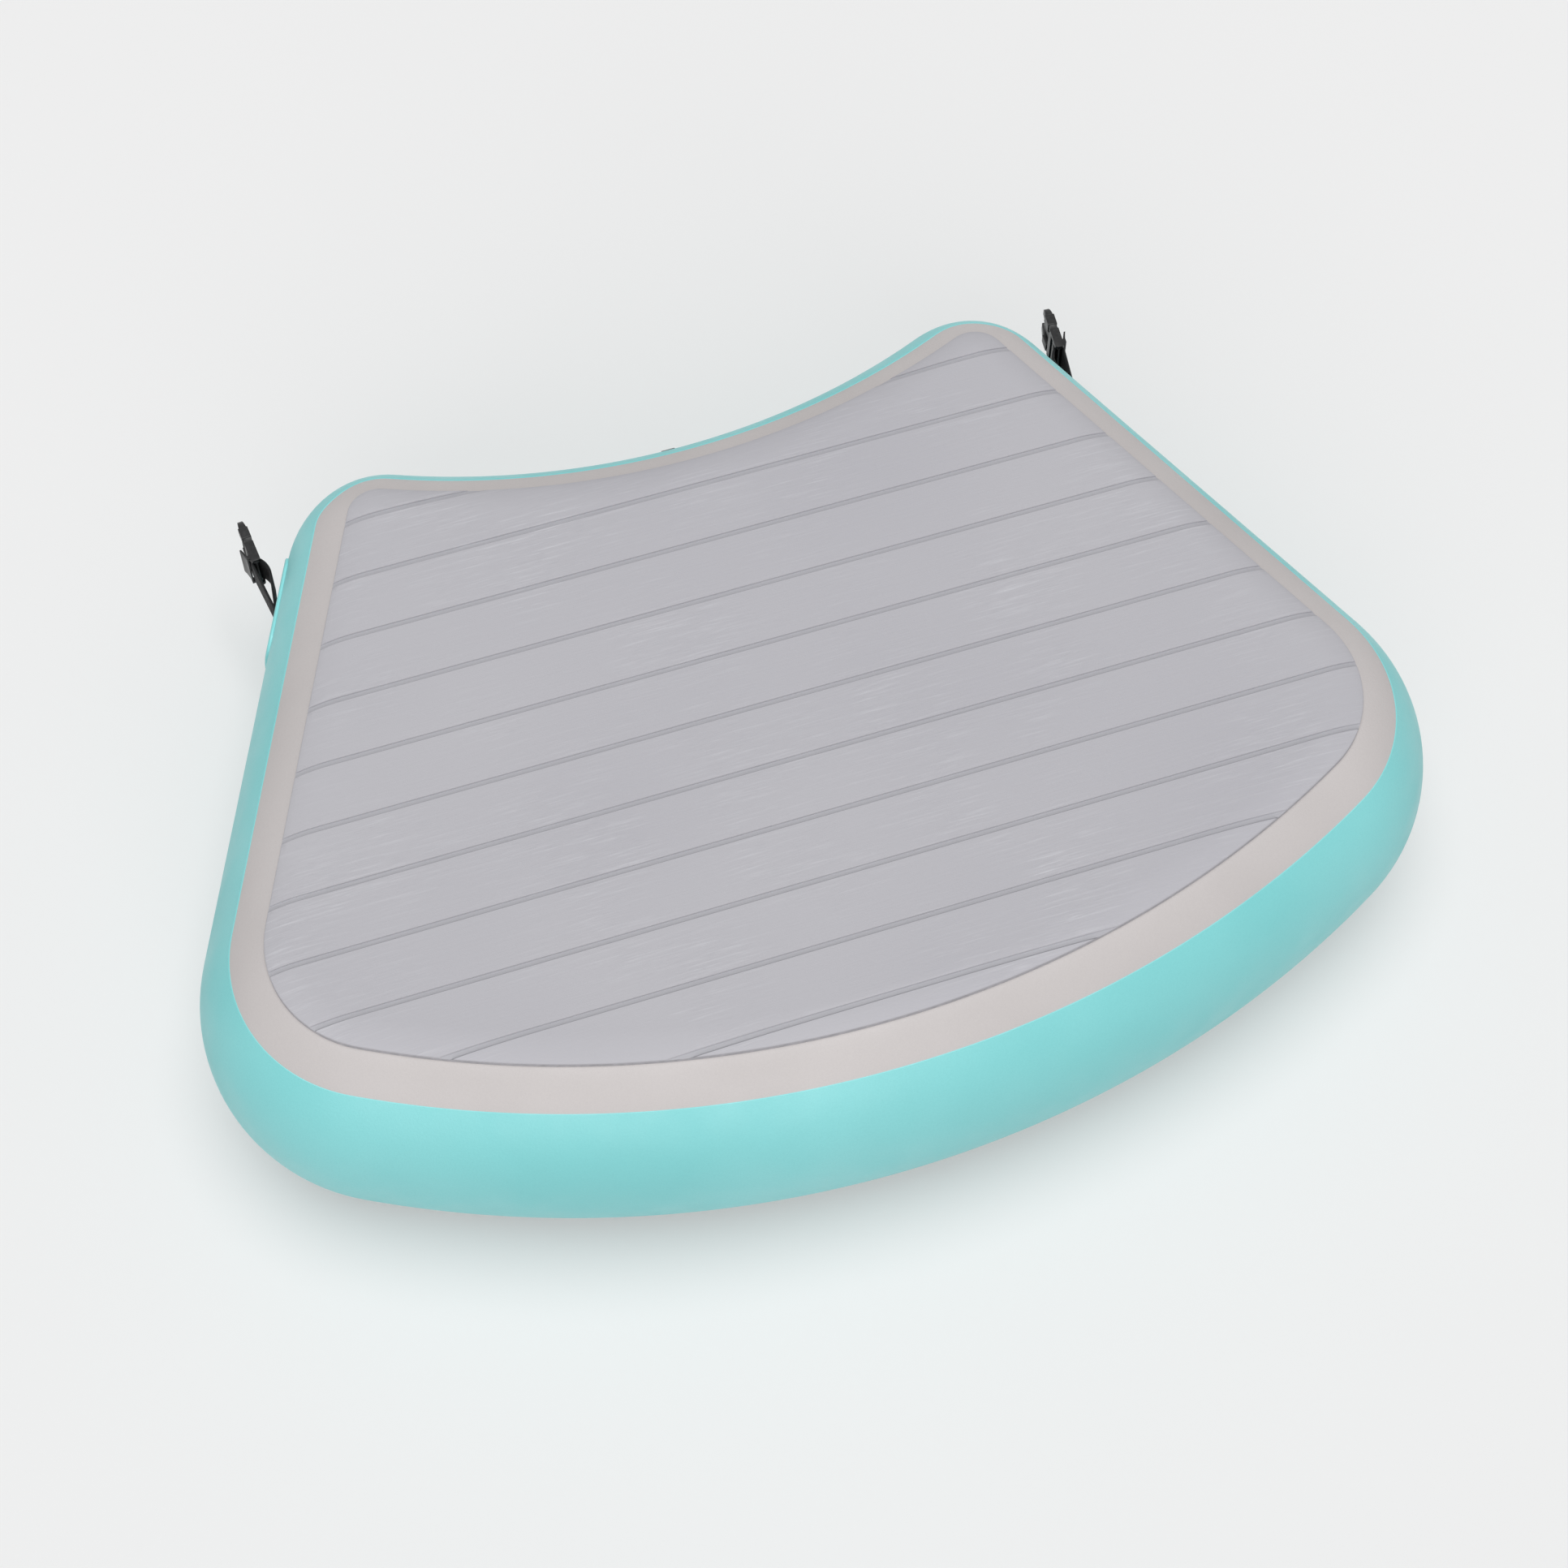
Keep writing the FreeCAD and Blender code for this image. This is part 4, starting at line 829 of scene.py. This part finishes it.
def root_stitches(hand, name):
    """Rows of thread stitches through both legs beside the root."""
    place = loop_frame(hand)
    build = bmesh.new()
    slope = math.atan2(WRAP_RADIUS - WEBBING_THICKNESS / 2, LOOP_LENGTH)
    for row in range(3):
        x = (2.4 + 1.6 * row) * MM
        outer = -(LEG_JOIN + math.tan(slope) * x) - WEBBING_THICKNESS / 2
        rail_side = LEG_JOIN + math.tan(LEG_ANGLE) * x + WEBBING_THICKNESS / 2 / math.cos(LEG_ANGLE)
        for index in range(9):
            z = (index - 4) * 2.3 * MM + (row % 2) * 0.5 * MM
            for y in (outer, rail_side):
                spot = place @ Matrix.Translation((x, y, z)) @ Matrix.Diagonal((0.28 * MM,
                                                                                0.24 * MM, 0.95 * MM, 1))
                bmesh.ops.create_icosphere(build, subdivisions=2, radius=1.0, matrix=spot)
    mesh = bpy.data.meshes.new(name + "_stitches")
    build.to_mesh(mesh)
    build.free()
    mesh.shade_smooth()
    piece = new_object(name + "_stitches", mesh)
    return dress(piece, name + "_strap", MATERIALS["thread"], "thread", name + "_root_stitching")


# ---- moulded hard parts -----------------------------------------------------------------------------
def softened(node, body, slot, width, sharp=28, shape=None):
    """The CAD node's own shape with its edges rounded over, reshaped where a matrix is given."""
    source = frame["nodes"][node]
    build = bmesh.new()
    build.from_mesh(source.data)
    bmesh.ops.transform(build, matrix=source.matrix_world, verts=build.verts)
    if shape:
        bmesh.ops.transform(build, matrix=shape, verts=build.verts)
    bmesh.ops.remove_doubles(build, verts=build.verts, dist=0.002 * MM)
    bmesh.ops.dissolve_limit(build, angle_limit=math.radians(1), verts=build.verts, edges=build.edges)
    mesh = bpy.data.meshes.new(node + "_moulding")
    build.to_mesh(mesh)
    build.free()
    piece = new_object(node + "_moulding", mesh)
    edge = piece.modifiers.new("edge", "BEVEL")
    edge.width = width
    edge.segments = 3
    edge.limit_method = "ANGLE"
    edge.angle_limit = math.radians(sharp)
    edge.harden_normals = False
    apply_modifiers(piece)
    piece.data.shade_smooth()
    piece.data.set_sharp_from_angle(angle=math.radians(40))
    return dress(piece, body, MATERIALS[slot], slot, node)


# ---- stage, light and camera --------------------------------------------------------------------------
def stage():
    """Plain pale floor; the sky beyond it shows the same tone to the camera and to gloss."""
    mesh = bpy.data.meshes.new("floor")
    corners = [(x * FLOOR_REACH, y * FLOOR_REACH, 0) for x, y in ((-1, -1), (1, -1), (1, 1), (-1, 1))]
    mesh.from_pydata(corners, [], [(0, 1, 2, 3)])
    floor = new_object("floor", mesh)
    graph = Graph("floor_paint")
    drift = graph.ramp(graph.noise(2), 0.3, 0.7)
    colour = graph.mix(drift, (*FLOOR_PAINT, 1), (*(tone * 0.99 for tone in FLOOR_PAINT), 1))
    graph.finish(colour, 0.9, Specular_IOR_Level=0.0, Emission_Color=(*FLOOR_GLOW, 1))
    path = graph.node("ShaderNodeLightPath")
    seen = graph.maths("MAXIMUM", path.outputs["Is Camera Ray"], path.outputs["Is Glossy Ray"])
    graph.feed(graph.shader.inputs["Emission Strength"], seen)
    floor.data.materials.append(graph.material)


def light():
    world = bpy.data.worlds.new("studio")
    bpy.context.scene.world = world
    world.use_nodes = True
    tree = world.node_tree
    sky = tree.nodes["Background"]
    sky.inputs["Color"].default_value = (1, 1, 1, 1)
    sky.inputs["Strength"].default_value = SKY
    seen = tree.nodes.new("ShaderNodeBackground")
    seen.inputs["Color"].default_value = linear(239, 239, 239)
    path = tree.nodes.new("ShaderNodeLightPath")
    mix = tree.nodes.new("ShaderNodeMixShader")
    either = tree.nodes.new("ShaderNodeMath")
    either.operation = "MAXIMUM"
    tree.links.new(path.outputs["Is Camera Ray"], either.inputs[0])
    tree.links.new(path.outputs["Is Glossy Ray"], either.inputs[1])
    tree.links.new(either.outputs[0], mix.inputs["Fac"])
    tree.links.new(sky.outputs[0], mix.inputs[1])
    tree.links.new(seen.outputs[0], mix.inputs[2])
    tree.links.new(mix.outputs[0], tree.nodes["World Output"].inputs["Surface"])
    for name, strength, spread, turn, rise in LAMPS:
        lamp = bpy.data.lights.new(name, "SUN")
        lamp.energy = strength
        lamp.angle = math.radians(spread)
        holder = bpy.data.objects.new(name, lamp)
        level = math.cos(math.radians(rise))
        side, front = math.sin(math.radians(turn)), math.cos(math.radians(turn))
        facing = Vector((level * side, -level * front, math.sin(math.radians(rise))))
        holder.rotation_euler = facing.to_track_quat("Z", "Y").to_euler()
        bpy.context.scene.collection.objects.link(holder)


def camera():
    lens = bpy.data.cameras.new("camera")
    lens.lens = CAMERA_LENS
    lens.sensor_width = 36
    holder = bpy.data.objects.new("camera", lens)
    holder.location = CAMERA_PLACE
    holder.rotation_euler = (math.radians(90 - CAMERA_DOWN), 0, math.radians(CAMERA_TURN))
    bpy.context.scene.collection.objects.link(holder)
    bpy.context.scene.camera = holder


camera()
stage()
light()
bpy.context.scene.view_settings.view_transform = "Standard"
dress_cad_nodes()
rail_band()
skin("top_skin_fabric", "top_skin", False)
skin("bottom_skin_fabric", "bottom_skin", True)
deck_pad()
for side, side_name in ((1, "right"), (-1, "left")):
    patch(side, side_name)
    webbing_loop(side, side_name)
    root_stitches(side, side_name)
    softened(side_name + "_buckle_plug", side_name + "_plug", "buckle_plastic", MOULD_ROUND)
    for arm in ("upper_arm", "lower_arm"):
        softened(f"{side_name}_{arm}", f"{side_name}_plug_{arm}", "buckle_plastic", MOULD_ROUND)
softened("valve_cap", "cap", "valve_plastic", MOULD_ROUND)
softened("valve_body", "chamber", "valve_plastic", 0.25 * MM)
to_axis = Matrix.Translation((0, 0, MID_HEIGHT))
trimmed = to_axis @ Matrix.Diagonal((SEAT_PAD_TRIM, 1, SEAT_PAD_TRIM, 1)) @ to_axis.inverted()
softened("valve_seat_pad", "chamber", "rail_fabric", 0.5 * MM, shape=trimmed)

spring = softened("valve_spring", "chamber", "spring_steel", 0.02 * MM, sharp=80)
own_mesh(spring)
